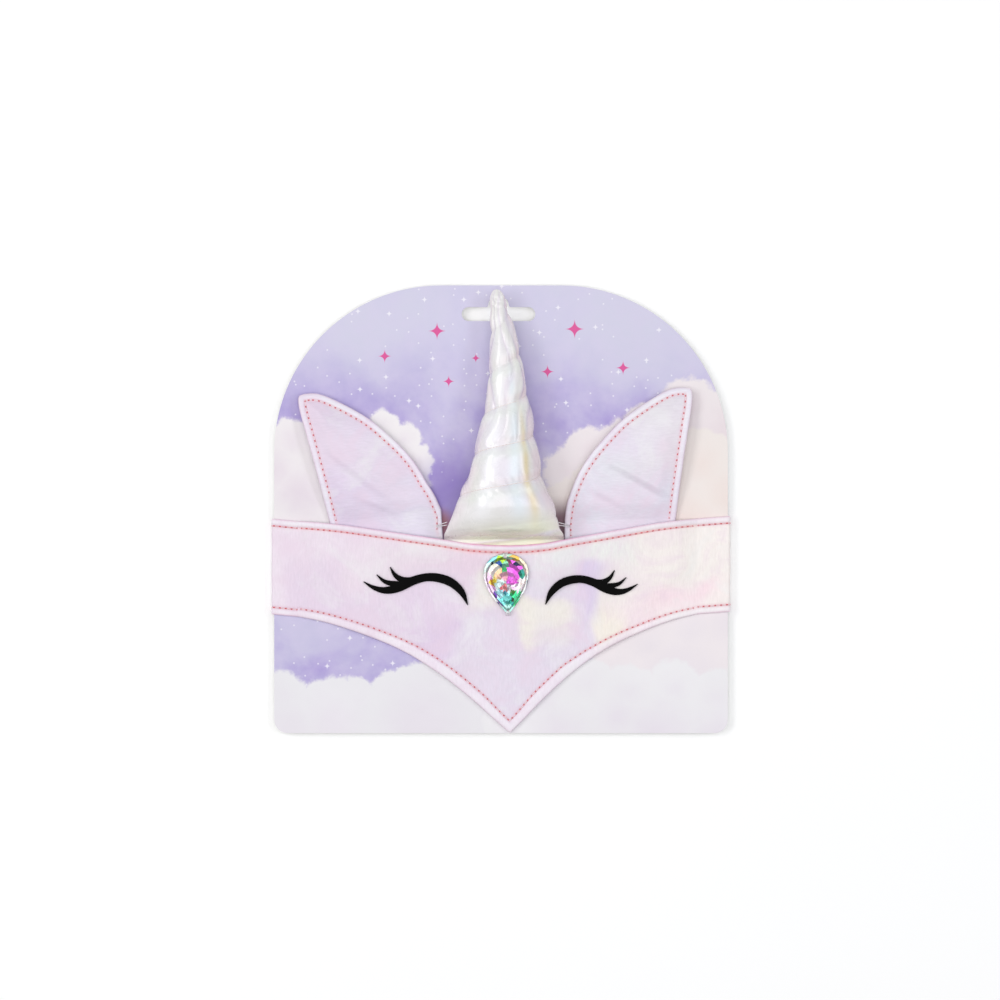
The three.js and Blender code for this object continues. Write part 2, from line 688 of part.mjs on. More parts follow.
function makeLash(side) {
  const [width, height] =
    side > 0 ? [rightLashWidth, rightLashHeight] : [leftLashWidth, leftLashHeight];
  const strokes = [...new Set(lashTable.map((row) => row.stroke))];
  const union = strokes
    .map((stroke) => toManifold(strokePlate(stroke, width, height)))
    .reduce((all, next) => all.add(next));
  const placed = side > 0 ? union.rotate([0, 0, rightLashTurn]) : union.mirror([1, 0, 0]);
  const geometry = fromManifold(placed);
  const corners = geometry.attributes.position;
  for (let k = 0; k < corners.count; k += 1) {
    const x = gemCentreX + side * lashInnerGap + corners.getX(k);
    const y = bandTop - lashInnerBelowSide + tiltAt(x) + corners.getY(k);
    corners.setXYZ(k, x, y, panelFaceAt(x, y) + clearance + corners.getZ(k));
  }
  return piece(side > 0 ? "lash_right" : "lash_left", geometry, "#151315", 0.4);
}

const headband = new THREE.Group();
headband.add(makeFrontPanel());
headband.add(makeElastic());
for (const side of [-1, 1]) headband.add(makeStrap(side), makeEar(side), makeLash(side));
headband.add(makeHorn());
headband.add(seatGem(makeGem()));

const product = new THREE.Group();
product.add(makeCard(), headband);

export default product;
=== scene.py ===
# %% [markdown]
# # A unicorn horn headband on its display card
# The headband is a child's dress-up band in pearly satin: a front panel that comes to a point, a strap at
# each side, a piece of elastic behind, two ears, a stuffed horn, a sewn-on stone and two closed eyes cut from
# black film. It is wrapped round a flat printed card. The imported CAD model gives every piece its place, so
# this script only adds what the eye sees: soft cloth, seams, thread, print and polish.

import math

import bpy
import numpy as np
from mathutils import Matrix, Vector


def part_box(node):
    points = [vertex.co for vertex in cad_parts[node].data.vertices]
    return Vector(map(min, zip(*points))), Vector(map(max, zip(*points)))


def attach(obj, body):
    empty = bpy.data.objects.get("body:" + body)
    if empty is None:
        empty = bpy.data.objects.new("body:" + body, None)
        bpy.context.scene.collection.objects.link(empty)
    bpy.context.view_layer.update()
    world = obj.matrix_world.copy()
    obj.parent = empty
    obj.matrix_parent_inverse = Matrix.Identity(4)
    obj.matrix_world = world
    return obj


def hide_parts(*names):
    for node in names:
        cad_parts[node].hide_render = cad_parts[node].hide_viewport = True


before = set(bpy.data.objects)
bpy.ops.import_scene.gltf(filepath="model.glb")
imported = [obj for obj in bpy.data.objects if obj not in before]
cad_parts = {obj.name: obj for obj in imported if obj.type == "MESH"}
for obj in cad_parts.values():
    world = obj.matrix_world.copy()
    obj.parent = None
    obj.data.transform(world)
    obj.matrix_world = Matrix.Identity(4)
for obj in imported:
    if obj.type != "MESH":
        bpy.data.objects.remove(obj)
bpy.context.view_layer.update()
MM = 0.001  # the CAD is read in millimetres here, and Blender works in metres
print("CAD nodes:", ", ".join(sorted(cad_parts)))

# %% [markdown]
# ## Sizes that the cloth pieces share
# The pieces below follow the same outlines as the solids that they stand for. The outlines could be read
# back from the solids, but those have few corners. So the named sizes and the tables of the outline are
# repeated here, in millimetres, and read through a smooth curve.

# %% Sizes in millimetres
CARD_HALF = 117.0
CARD_FACE = 4.0  # height of the printed face
CLOTH_WALL = 1.2
CLOTH_FRONT = 5.5  # the cloth's outer face where it lies flat on the card
BAND_TOP = -4.2
STRAP_WIDTH = 49.4
POINT_X = 4.6
LEFT_REACH = 109.45  # from the point to the left seam
RIGHT_REACH = 96.25
SEAM_LEFT, SEAM_RIGHT = POINT_X - LEFT_REACH, POINT_X + RIGHT_REACH
SEAM_GAP = 0.3  # between panel and strap in the CAD
SEAM_REACH = 0.17  # cloth runs on by this past its own end in the CAD, so that the two overlap
TOP_DIP = 14.4
POINT_DROP = 61.8
TOP_HEM = 3.7  # edge to stitch line
HEM_PUFF = 0.34
STITCH_DENT = 0.3
STITCH_PITCH = 3.05
EAR_HEIGHT = 70.8
EAR_BASE = -8.0
HORN_LENGTH = 128.4
HORN_HALF_WIDTH = 32.0
HORN_HALF_DEPTH = 15.5

PANEL_OUT = [0, 0.065, 0.18, 0.33, 0.48, 0.61, 0.79, 0.9, 1]
PANEL_DIP = [1, 0.99, 0.93, 0.75, 0.58, 0.43, 0.23, 0.14, 0.08]
PANEL_DROP = [1, 0.9, 0.715, 0.505, 0.335, 0.226, 0.11, 0.055, 0.02]
PANEL_LIFT = [1, 1, 0.97, 0.87, 0.7, 0.58, 0.54, 0.42, 0]
print("the panel is", LEFT_REACH + RIGHT_REACH, "mm long")


# %% Smooth readings
def through(places, values, at):
    """Smooth curve through a table. Between two rows it is a cubic, and its slope at a row is the harmonic
    mean of the slopes beside it, or nothing where they turn, so it never swings past the rows."""
    places, values = np.asarray(places, float), np.asarray(values, float)
    at = np.clip(at, places[0], places[-1])
    slope = np.diff(values) / np.diff(places)
    before, after = slope[:-1], slope[1:]
    same_way = before * after > 0
    inner = np.where(same_way, 2 * before * after / np.where(same_way, before + after, 1), 0)
    tangent = np.concatenate(([slope[0]], inner, [slope[-1]]))
    k = np.clip(np.searchsorted(places, at) - 1, 0, len(places) - 2)
    span = places[k + 1] - places[k]
    t = (at - places[k]) / span
    rise = (2 * t**3 - 3 * t**2 + 1) * values[k] + (3 * t**2 - 2 * t**3) * values[k + 1]
    return rise + (t**3 - 2 * t**2 + t) * span * tangent[k] + (t**3 - t**2) * span * tangent[k + 1]


def soft_waves(x, y, length, seed, count=22):
    """Gentle unevenness, mostly within -1 and 1: the sum of plane waves of about one length that run in
    seeded random directions, divided by the root of their number."""
    dice = np.random.default_rng(seed)
    angle = dice.uniform(0, 2 * np.pi, count)
    lengths = length * dice.uniform(0.7, 1.7, count)
    phase = dice.uniform(0, 2 * np.pi, count)
    along = np.asarray(x)[..., None] * np.cos(angle) + np.asarray(y)[..., None] * np.sin(angle)
    return np.sin(2 * np.pi * along / lengths + phase).sum(-1) / np.sqrt(count)


def ease(value, low, high):
    """Runs from 0 at low to 1 at high, level at both ends: 3t squared less 2t cubed."""
    t = np.clip((value - low) / (high - low), 0, 1)
    return t * t * (3 - 2 * t)


def bell(value, middle, reach):
    """1 at the middle and less on both sides: the exponential of minus the squared distance over reach."""
    return np.exp(-(((value - middle) / reach) ** 2))


print("half way along, the panel's dip is", round(float(through(PANEL_OUT, PANEL_DIP, 0.5)), 3))

# %% [markdown]
# ## Putting surfaces into meshes
# Cloth has two sides and an edge. A flat grid with Solidify gives it an even wall, but a sewn hem is rounded
# and thins out to its fold. So a cloth piece here is two grids, front and back, that share their rim.


# %% Mesh builders
def colour(code):
    """sRGB hex to the linear colour that Blender reckons with."""
    parts = np.array([int(code[i : i + 2], 16) for i in (1, 3, 5)]) / 255
    linear = np.where(parts <= 0.04045, parts / 12.92, ((parts + 0.055) / 1.055) ** 2.4)
    return (*linear.tolist(), 1.0)


def make_piece(name, points, faces, material, uv=None, tint=None, values=None, smooth=True):
    """A mesh object at the origin from corners in millimetres. uv is in metres along the cloth, tint is one
    linear colour for each corner, and values are named numbers for each corner."""
    mesh = bpy.data.meshes.new(name)
    mesh.from_pydata((np.asarray(points) * MM).tolist(), [], [list(map(int, f)) for f in faces])
    mesh.polygons.foreach_set("use_smooth", np.full(len(mesh.polygons), smooth))
    if uv is not None:
        corner = np.empty(len(mesh.loops), dtype=np.int32)
        mesh.loops.foreach_get("vertex_index", corner)
        layer = mesh.uv_layers.new(name="cloth_metres")
        layer.data.foreach_set("uv", (np.asarray(uv)[corner] * MM).astype(np.float32).ravel())
    if tint is not None:
        layer = mesh.color_attributes.new("tint", "FLOAT_COLOR", "POINT")
        full = np.concatenate([tint, np.ones((len(tint), 1))], axis=1)
        layer.data.foreach_set("color", full.astype(np.float32).ravel())
    for key, column in (values or {}).items():
        layer = mesh.attributes.new(key, "FLOAT", "POINT")
        layer.data.foreach_set("value", np.asarray(column, dtype=np.float32).ravel())
    mesh.materials.append(material)
    mesh.update()
    piece = bpy.data.objects.new(name, mesh)
    bpy.context.scene.collection.objects.link(piece)
    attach(piece, "root")
    return piece


def two_sided(front, back):
    """Closed sheet over a grid whose rows run towards -Y and whose columns run towards +X. The back's own
    corners are those inside its rim, because the rim belongs to the front."""
    rows, columns = front.shape[:2]
    front_index = np.arange(rows * columns).reshape(rows, columns)
    back_index = front_index.copy()
    inside = np.arange((rows - 2) * (columns - 2)).reshape(rows - 2, columns - 2)
    back_index[1:-1, 1:-1] = rows * columns + inside

    def quads(k):
        return np.stack([k[:-1, :-1], k[1:, :-1], k[1:, 1:], k[:-1, 1:]], -1).reshape(-1, 4)

    points = np.concatenate([front.reshape(-1, 3), back[1:-1, 1:-1].reshape(-1, 3)])
    return points, np.concatenate([quads(front_index), quads(back_index)[:, ::-1]])


def both_sides(grid):
    """A column of numbers, or of colours, for the corners that two_sided makes."""
    return np.concatenate([grid.reshape(-1, *grid.shape[2:]), grid[1:-1, 1:-1].reshape(-1, *grid.shape[2:])])


def fold_half(distance, half):
    """Half thickness of a hem at a distance from its fold: a quarter circle that ends flat."""
    inward = np.clip(distance / half, 0, 1)
    return half * np.sqrt(np.clip(1 - (1 - inward) ** 2, 0, 1))


print("mesh builders ready")


# %% [markdown]
# ## Thread
# A topstitch is a short raised bar of thread between two needle holes. It could be a bump on the cloth, but
# then it is flat from the side. Each stitch here is a small capsule laid on the surface, all worked out at
# once: the line is cut into equal steps, and every stitch gets seven rings of six corners.


# %% Thread builders
def rings_round(path, outward, radius, sides):
    """Rings of corners round a path. A corner is the path's point plus the radius times the cosine of its
    angle sideways and the sine of its angle outward. Works on whole stacks of paths."""
    along = np.gradient(path, axis=-2)
    along /= np.linalg.norm(along, axis=-1, keepdims=True)
    sideways = np.cross(along, outward)
    sideways /= np.linalg.norm(sideways, axis=-1, keepdims=True)
    upward = np.cross(sideways, along)
    angle = 2 * np.pi * np.arange(sides) / sides
    spread = np.cos(angle)[:, None] * sideways[..., None, :] + np.sin(angle)[:, None] * upward[..., None, :]
    return path[..., None, :] + np.asarray(radius)[..., None, None] * spread


def tube_faces(rings, sides, start=0):
    """Quads between neighbouring rings, and one flat face on each end."""
    k = start + np.arange(rings * sides).reshape(rings, sides)
    after = np.roll(k, -1, axis=1)
    walls = np.stack([k[:-1], k[1:], after[1:], after[:-1]], -1).reshape(-1, 4)
    return walls.tolist() + [k[0].tolist(), k[-1][::-1].tolist()]


def straight_up(path):
    """The direction +Z for every point of a path."""
    return np.tile([0.0, 0.0, 1.0], (len(path), 1))


THREAD_SIDES = 6
THREAD_LIFT = 0.2  # from the cloth to the middle of a stitch's thread
# rings of one stitch: share of its length, thickness, and how near each is to a needle hole
STITCH_SHARES = np.array([0, 0.1, 0.18, 0.5, 0.82, 0.9, 1])
STITCH_THICKNESS = np.array([1.0, 1.4, 1.05, 1.0, 1.05, 1.4, 1.0])
STITCH_HOLES = np.array([1.0, 1.0, 0.1, 0.0, 0.1, 1.0, 1.0])
STITCH_CORNERS = len(STITCH_SHARES) * THREAD_SIDES


def stitch_line(path, outward, pitch=STITCH_PITCH, length=2.9, radius=0.3, rise=0.1):
    """Capsule stitches along a path on the cloth. Each runs for length out of every pitch. Its middle is
    raised by a half sine, and its ends are thicker and drawn in to the needle holes."""
    step = np.linalg.norm(np.diff(path, axis=0), axis=1)
    run = np.concatenate([[0], np.cumsum(step)])
    count = max(1, int(run[-1] // pitch))
    first = (run[-1] - count * pitch) / 2 + (pitch - length) / 2
    place = first + pitch * np.arange(count)[:, None] + length * STITCH_SHARES

    def read_along(rows):
        return np.stack([np.interp(place, run, rows[:, i]) for i in range(3)], -1)

    centre, up = read_along(path), read_along(outward)
    sunk = 0.1 * (np.abs(STITCH_SHARES - 0.5) > 0.45)
    centre = centre + up * (rise * np.sin(np.pi * STITCH_SHARES) - sunk)[None, :, None]
    points = rings_round(centre, up, radius * STITCH_THICKNESS * np.ones((count, 1)), THREAD_SIDES)
    faces = []
    for k in range(count):
        faces += tube_faces(len(STITCH_SHARES), THREAD_SIDES, start=k * STITCH_CORNERS)
    return points.reshape(-1, 3), faces


def join(parts):
    """Several lots of corners and faces as one."""
    points, faces, start = [], [], 0
    for more, sides in parts:
        points.append(more)
        faces += [[i + start for i in face] for face in sides]
        start += len(more)
    return np.concatenate(points), faces


print("thread builders ready")

# %% [markdown]
# ## Nodes
# Materials are built from nodes in code. One helper adds a node, sets its inputs and links what is linked, so
# a material reads from top to bottom like a recipe.


# %% Node helper
def add_node(tree, kind, inputs=None, **settings):
    """One node with its settings. An input is a plain value, or the output of an earlier node."""
    node = tree.nodes.new(kind)
    for name, value in settings.items():
        setattr(node, name, value)
    for key, value in (inputs or {}).items():
        if isinstance(value, bpy.types.NodeSocket):
            tree.links.new(value, node.inputs[key])
        else:
            node.inputs[key].default_value = value
    return node


# nearly all values of a noise texture lie in this span
NOISE_SPAN = {"From Min": 0.3, "From Max": 0.7}


def new_material(name):
    """A material with one shader and its output, and the socket that gives the place on the object."""
    material = bpy.data.materials.new(name)
    material.use_nodes = True
    tree = material.node_tree
    tree.nodes.clear()
    shader = add_node(tree, "ShaderNodeBsdfPrincipled")
    add_node(tree, "ShaderNodeOutputMaterial", {"Surface": shader.outputs[0]})
    return material, tree, shader, add_node(tree, "ShaderNodeTexCoord").outputs["Object"]


print("node helper ready")

# %% [markdown]
# ## Pearly satin
# The band and ears are polyester satin with a thin pearl coating. Satin floats its warp threads over several
# wefts, so it shines, and the coating turns its white a little lilac, pink, cream or green from place to
# place. Real satin has about 40 threads to the centimetre, too fine to show, so the weave is drawn at 0.9 mm.
# The broad drifts of colour come from the piece's own tint, and the weave and the slubs from nodes.


# %% Satin materials
def pearl_satin(name, roughness, weave_run, gloss_tint):
    """Coated polyester satin: a soft sheen, a weak coat and a thin film over an uneven woven ground."""
    material, tree, shader, place = new_material(name)
    tint = add_node(tree, "ShaderNodeAttribute", attribute_name="tint")
    stretch = add_node(tree, "ShaderNodeMapping", {"Vector": place, "Scale": weave_run})
    threads = add_node(
        tree,
        "ShaderNodeTexNoise",
        {"Vector": stretch.outputs[0], "Scale": 1100.0, "Detail": 3.0, "Roughness": 0.6},
    )
    cloudy = add_node(
        tree, "ShaderNodeTexNoise", {"Vector": place, "Scale": 55.0, "Detail": 4.0, "Roughness": 0.55}
    )
    thread_shade = add_node(
        tree,
        "ShaderNodeMapRange",
        {"Value": threads.outputs[0], **NOISE_SPAN, "To Min": 0.95, "To Max": 1.035},
    )
    cloud_shade = add_node(
        tree,
        "ShaderNodeMapRange",
        {"Value": cloudy.outputs[0], **NOISE_SPAN, "To Min": 0.975, "To Max": 1.02},
    )
    both = add_node(
        tree,
        "ShaderNodeMath",
        {0: thread_shade.outputs[0], 1: cloud_shade.outputs[0]},
        operation="MULTIPLY",
    )
    shaded = add_node(
        tree,
        "ShaderNodeVectorMath",
        {0: tint.outputs["Color"], "Scale": both.outputs[0]},
        operation="SCALE",
    )
    # the coating's film is uneven, so small patches turn rosy and others green-white
    patches = add_node(
        tree,
        "ShaderNodeTexNoise",
        {"Vector": place, "Scale": 38.0, "Detail": 5.0, "Roughness": 0.65, "Distortion": 0.8},
    )
    rosy_share = add_node(
        tree,
        "ShaderNodeMapRange",
        {"Value": patches.outputs[0], "From Min": 0.5, "From Max": 0.68, "To Max": 0.5},
    )
    green_share = add_node(
        tree,
        "ShaderNodeMapRange",
        {"Value": patches.outputs[0], "From Min": 0.5, "From Max": 0.34, "To Max": 0.4},
    )
    rosy = add_node(
        tree,
        "ShaderNodeMix",
        {0: rosy_share.outputs[0], 6: shaded.outputs[0], 7: colour("#E9D2E4")},
        data_type="RGBA",
    )
    coated = add_node(
        tree,
        "ShaderNodeMix",
        {0: green_share.outputs[0], 6: rosy.outputs[2], 7: colour("#F0F1F0")},
        data_type="RGBA",
    )
    uneven = add_node(
        tree,
        "ShaderNodeMapRange",
        {"Value": cloudy.outputs[0], **NOISE_SPAN, "To Min": roughness - 0.06, "To Max": roughness + 0.07},
    )
    bump = add_node(
        tree, "ShaderNodeBump", {"Strength": 0.22, "Distance": 0.0002, "Height": threads.outputs[0]}
    )
    tree.links.new(coated.outputs[2], shader.inputs["Base Color"])
    tree.links.new(uneven.outputs[0], shader.inputs["Roughness"])
    tree.links.new(bump.outputs[0], shader.inputs["Normal"])
    shader.inputs["IOR"].default_value = 1.5
    shader.inputs["Sheen Weight"].default_value = 0.12
    shader.inputs["Sheen Roughness"].default_value = 0.35
    shader.inputs["Sheen Tint"].default_value = colour(gloss_tint)
    shader.inputs["Coat Weight"].default_value = 0.12
    shader.inputs["Coat Roughness"].default_value = 0.3
    return material


# the weave's slubs are long along the warp, which runs up the band and the ears
band_satin = pearl_satin("pearl_polyester_satin_band", 0.42, (1.0, 0.22, 1.0), "#F6E4F2")
ear_satin = pearl_satin("pearl_polyester_satin_ears", 0.4, (0.22, 1.0, 1.0), "#EDE6FA")
print("satin materials:", band_satin.name, ear_satin.name)


# %% Drifts of pearl colour
def drift(x, y, spots, seed, wander=9.0):
    """Tint at each place: the mean of the spots' colours, each weighted by the exponential of minus its
    squared distance over its reach squared. The places are first shifted by soft waves, so that no spot
    has a round edge."""
    x = x + wander * soft_waves(x, y, 42, seed)
    y = y + wander * soft_waves(x, y, 38, seed + 1)
    table = np.array([[sx, sy, rx, ry, *colour(code)[:3]] for sx, sy, rx, ry, code in spots])
    far = ((x[..., None] - table[:, 0]) / table[:, 2]) ** 2
    far = far + ((y[..., None] - table[:, 1]) / table[:, 3]) ** 2
    weight = np.exp(-far) + 1e-9
    return (weight[..., None] * table[:, 4:7]).sum(-2) / weight.sum(-1)[..., None]


def toward(tint, code, share):
    """Mixes a colour into a grid of tints."""
    return tint + (np.array(colour(code)[:3]) - tint) * np.asarray(share)[..., None]


# panel and straps share one seed, so that their colours run on across the seams
BAND_SEED = 31
# where the photograph's band is pink, lilac, cream or green-white: middle, reach across and up, colour
BAND_DRIFTS = [
    (-117, -28, 22, 26, "#EFE3EE"),
    (-92, -20, 24, 16, "#EBDCE9"),
    (-88, -46, 26, 14, "#E4D2E6"),
    (-60, -26, 24, 16, "#EDE0EA"),
    (-50, -50, 24, 14, "#E7D7E8"),
    (-27, -30, 12, 8, "#E8D2E2"),
    (-28, -56, 13, 12, "#DFC9E6"),
    (-12, -50, 11, 8, "#F5F0E4"),
    (-30, -44, 9, 6, "#EADAEC"),
    (3, -70, 16, 10, "#E5D9E8"),
    (18, -54, 12, 7, "#F3EDE4"),
    (22, -24, 14, 8, "#E4DAEA"),
    (32, -50, 8, 9, "#E2D2EA"),
    (44, -25, 16, 8, "#EDEFEC"),
    (47, -50, 7, 9, "#DACBEB"),
    (58, -54, 9, 10, "#F6EDE2"),
    (70, -30, 16, 14, "#F5EDEA"),
    (84, -44, 12, 12, "#F8E6EB"),
    (98, -24, 16, 12, "#F6EFEA"),
    (96, -44, 9, 9, "#FADCE6"),
    (117, -28, 18, 26, "#FAF1EE"),
    (0, -90, 26, 16, "#E6DCEC"),
]
print(len(BAND_DRIFTS), "drifts of colour on the band")

# %% [markdown]
# ## Front panel
# The panel is two layers of satin turned inside out and topstitched, so its edges are round and a little
# puffed, and the needle draws the cloth in along the stitch line. Its top edge stands off the card, pushed by
# the horn and ears behind it. Cloth simulation could find that shape, but the panel is pulled taut and hardly
# folds, so its height is a formula: the lift at the top edge, the hem's puff, the dent of the stitches, and
# small puckers at the stitches' own spacing.


# %% Panel's shape
def tilt(x):
    """The whole band rises 1.4 mm from the card's left edge to its right."""
    return 1.4 * x / (2 * CARD_HALF)


def panel_edges(x):
    """Share of the way out from the point, and the heights of the top and bottom edges at x."""
    out = np.clip(np.abs(x - POINT_X) / np.where(x < POINT_X, LEFT_REACH, RIGHT_REACH), 0, 1)
    top = BAND_TOP + tilt(x) - TOP_DIP * through(PANEL_OUT, PANEL_DIP, out)
    bottom = BAND_TOP + tilt(x) - STRAP_WIDTH - POINT_DROP * through(PANEL_OUT, PANEL_DROP, out)
    return out, top, bottom


def panel_slopes(x):
    """How much longer the edges are than their run along X: one over the cosine of their slope."""
    step = 0.2
    side = np.where(x < POINT_X, -1.0, 1.0)
    _, top_a, low_a = panel_edges(x)
    _, top_b, low_b = panel_edges(x + side * step)
    return np.hypot(1, (top_b - top_a) / step), np.hypot(1, (low_b - low_a) / step)


def lower_hem(x):
    """Edge to stitch line along the bottom: the line wanders, further in where the edge curves."""
    places = [-105, -58, -34, -8, POINT_X, 16, 32, 48, 70, 101]
    return np.interp(x, places, [4.2, 5.0, 5.9, 5.5, 4.6, 5.4, 5.8, 4.5, 3.8, 3.6])


TOP_LIFT = 5.4  # how far the top edge stands off over the point
LOW_LIFT = 0.9  # and the lower edge


def plain_height(out, down):
    """The panel's face without hems and waves, at a share of the way out from the point and of the way down
    from the top edge: flat cloth, plus the lift at the top edge that dies away down the panel, plus the
    small lift of the lower hem, which is gone at the seams."""
    face = CLOTH_FRONT + TOP_LIFT * through(PANEL_OUT, PANEL_LIFT, out) * (1 - down) ** 1.4
    return face + LOW_LIFT * np.clip((1 - out) / 0.25, 0, 1) * down


def hem_relief(distance, hem):
    """Three shares for a topstitched hem at a distance from its edge: the puff between fold and stitch line,
    a half sine to the power 0.7, the dent along the line, and the strip beside the line that puckers."""
    puff = np.sin(np.pi * np.clip(distance / hem, 0, 1)) ** 0.7 * (distance < hem)
    return puff, bell(distance, hem, 0.7), bell(distance, hem, 1.7)


def panel_height(x, y):
    """The panel's outer face at any place: its plain height, plus the hems' puff, less their dent, plus
    puckers and broad soft waves. It is sunk by 0.25 mm, so that the puff stays near the CAD's face."""
    out, top, bottom = panel_edges(x)
    longer_top, longer_low = panel_slopes(x)
    down = np.clip((top - y) / (top - bottom), 0, 1)
    height = plain_height(out, down) - 0.25 + 0.24 * soft_waves(x, y, 30, 5) * ease(out, 1.0, 0.9)
    for gap, hem, along, seed in (
        ((top - y) / longer_top, TOP_HEM, x, 11),
        ((y - bottom) / longer_low, lower_hem(x), x * longer_low, 17),
    ):
        puff, dent, beside = hem_relief(gap, hem)
        pucker = np.cos(2 * np.pi * along / STITCH_PITCH + 2 * soft_waves(x, y, 20, seed))
        height = height + HEM_PUFF * puff - STITCH_DENT * dent + 0.11 * beside * pucker
    gathered = bell(x, POINT_X, 34) * np.exp(-np.clip((top - y) - TOP_HEM, 0, None) / 7)
    return height + 0.13 * gathered * np.sin(2 * np.pi * x / 5.3 + 3 * soft_waves(x, y, 25, 23))


def panel_tint(x, y):
    """The drifts of pearl colour, with pale folded edges, pink along the stitch lines that is partly the
    thread's colour and partly painted shade in their dent, and pink right at the folded edges that is painted
    shade where the fold turns down.
    """
    _, top, bottom = panel_edges(np.clip(x, SEAM_LEFT + 0.05, SEAM_RIGHT - 0.05))
    longer_top, longer_low = panel_slopes(x)
    upper, lower, hem = (top - y) / longer_top, (y - bottom) / longer_low, lower_hem(x)
    middle = bell(x, 3, 48)
    tint = drift(x, y, BAND_DRIFTS, BAND_SEED)
    tint = toward(tint, "#F3EEF8", 0.62 * ease(upper, TOP_HEM - 0.3, TOP_HEM - 1.2))
    tint = toward(tint, "#F8F0F8", 0.65 * ease(lower, hem - 0.3, hem - 1.4))
    # pink along both stitch lines: partly the coral thread's colour spread round them, partly painted shade in
    # their dent
    tint = toward(tint, "#F2AFB2", (0.45 + 0.3 * middle) * bell(upper, TOP_HEM, 0.8 + 0.4 * middle))
    tint = toward(tint, "#F0C2CC", 0.45 * bell(lower, hem, 0.7))
    # pink right at the folded edges, strongest in the middle under the horn: painted shade where the fold
    # turns down
    tint = toward(tint, "#F0B9D6", 0.5 * bell(upper, 0, 0.7))
    tint = toward(tint, "#EC7FC0", 0.75 * middle * bell(upper, 0, 0.75))
    return toward(tint, "#EDC6DA", 0.4 * bell(lower, 0, 0.6))


print("stitch line above the point:", round(float(lower_hem(POINT_X)), 1), "mm from each edge")

# %% Panel's mesh
# rows of corners lie closest where the cloth turns: millimetres from the top edge, and from the lower one
HEM_STOPS = np.array([0, 0.15, 0.4, 0.8, 1.4, 2.1, 2.8, 3.3, 3.7, 4.1, 4.8, 5.8])
LOW_HEM_STOPS = np.array([8.2, 7.2, 6.5, 6.0, 5.5, 5.0, 4.5, 4.1, 3.7, 3.3, 2.7, 2.0, 1.3, 0.7, 0.3, 0])
# sewn to the straps, the panel ends square at each seam, so its end columns lie close together
SEAM_STOPS = np.array([0.01, 0.03, 0.3])
TOP_SLOPE = 1.02  # how much longer the top edge is than its run along X
side_left = POINT_X - (LEFT_REACH + SEAM_REACH) * np.linspace(1, 0, 146)[:-1]
side_right = POINT_X + (RIGHT_REACH + SEAM_REACH) * np.linspace(0, 1, 130)
panel_x = np.concatenate([side_left[:1], side_left[0] + SEAM_STOPS, side_left[1:], side_right])
panel_x = np.insert(panel_x, -1, panel_x[-1] - SEAM_STOPS[::-1])
_, panel_top, panel_bottom = panel_edges(panel_x)
_, longer = panel_slopes(panel_x)
low_stops = LOW_HEM_STOPS[:, None] * np.minimum(longer, 1.45)
body_top, body_low = panel_top - HEM_STOPS[-1], panel_bottom + low_stops[0]
body_rows = body_top + (body_low - body_top) * np.linspace(0, 1, 30)[1:-1, None]
panel_y = np.concatenate([panel_top - HEM_STOPS[:, None], body_rows, panel_bottom + low_stops])
grid_x = np.broadcast_to(panel_x, panel_y.shape)
edge_gap = np.minimum((panel_top - panel_y) / TOP_SLOPE, (panel_y - panel_bottom) / longer)
wall_middle = panel_height(grid_x, panel_y) - CLOTH_WALL / 2
half_wall = fold_half(np.clip(edge_gap, 0, None), CLOTH_WALL / 2)
half_wall[:, [0, -1]] = 0
front, back = (np.stack([grid_x, panel_y, wall_middle + sign * half_wall], -1) for sign in (1, -1))
panel_points, panel_faces = two_sided(front, back)
panel = make_piece(
    "satin_front_panel",
    panel_points,
    panel_faces,
    band_satin,
    uv=panel_points[:, :2],
    tint=both_sides(panel_tint(grid_x, panel_y)),
)
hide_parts("front_panel")

# %% [markdown]
# ## Straps
# Each strap goes on from the panel, turns round the card's edge and runs in behind it to the elastic. It is
# the same doubled satin, so it gets the same hems. It is made as a profile, the line that its outer face
# follows round the card's edge, carried across the strap's width.


# %% Strap's profile
STRAP_FRONT = {-1: 12.0, 1: 16.0}  # from the seam to the card's edge, on the left and on the right
STRAP_BEHIND = 48  # from the card's edge to the strap's end behind the card
BEND = 1.5  # outer radius of the cloth round the card's edge


def strap_profile(front_length):
    """The outer face's line from the seam round the card's edge to the strap's end behind: straight, a
    quarter circle, straight down the edge, another quarter circle, and straight back. The last two lists
    are the direction outwards at each point."""
    seam = CARD_HALF - front_length + SEAM_GAP / 2
    level = np.linspace(seam - SEAM_REACH, CARD_HALF, 20)[:-1]
    level = np.insert(level, 1, [seam - 0.16, seam - 0.14, seam + 0.15])
    behind = np.linspace(CARD_HALF, CARD_HALF - STRAP_BEHIND, 60)[1:]
    quarter = np.linspace(0, np.pi / 2, 8)
    sine, cosine = np.sin(quarter), np.cos(quarter)
    x = [level, CARD_HALF + BEND * sine, CARD_HALF + BEND * cosine, behind]
    z = [0 * level + CLOTH_FRONT, CARD_FACE + BEND * cosine, BEND - BEND * sine, 0 * behind]
    out_x = [0 * level, sine, cosine, 0 * behind]
    out_z = [0 * level + 1, cosine, -sine, 0 * behind - 1]
    return [np.concatenate(part) for part in (x, z, out_x, out_z)]


print("the right strap's profile has", len(strap_profile(STRAP_FRONT[1])[0]), "points")


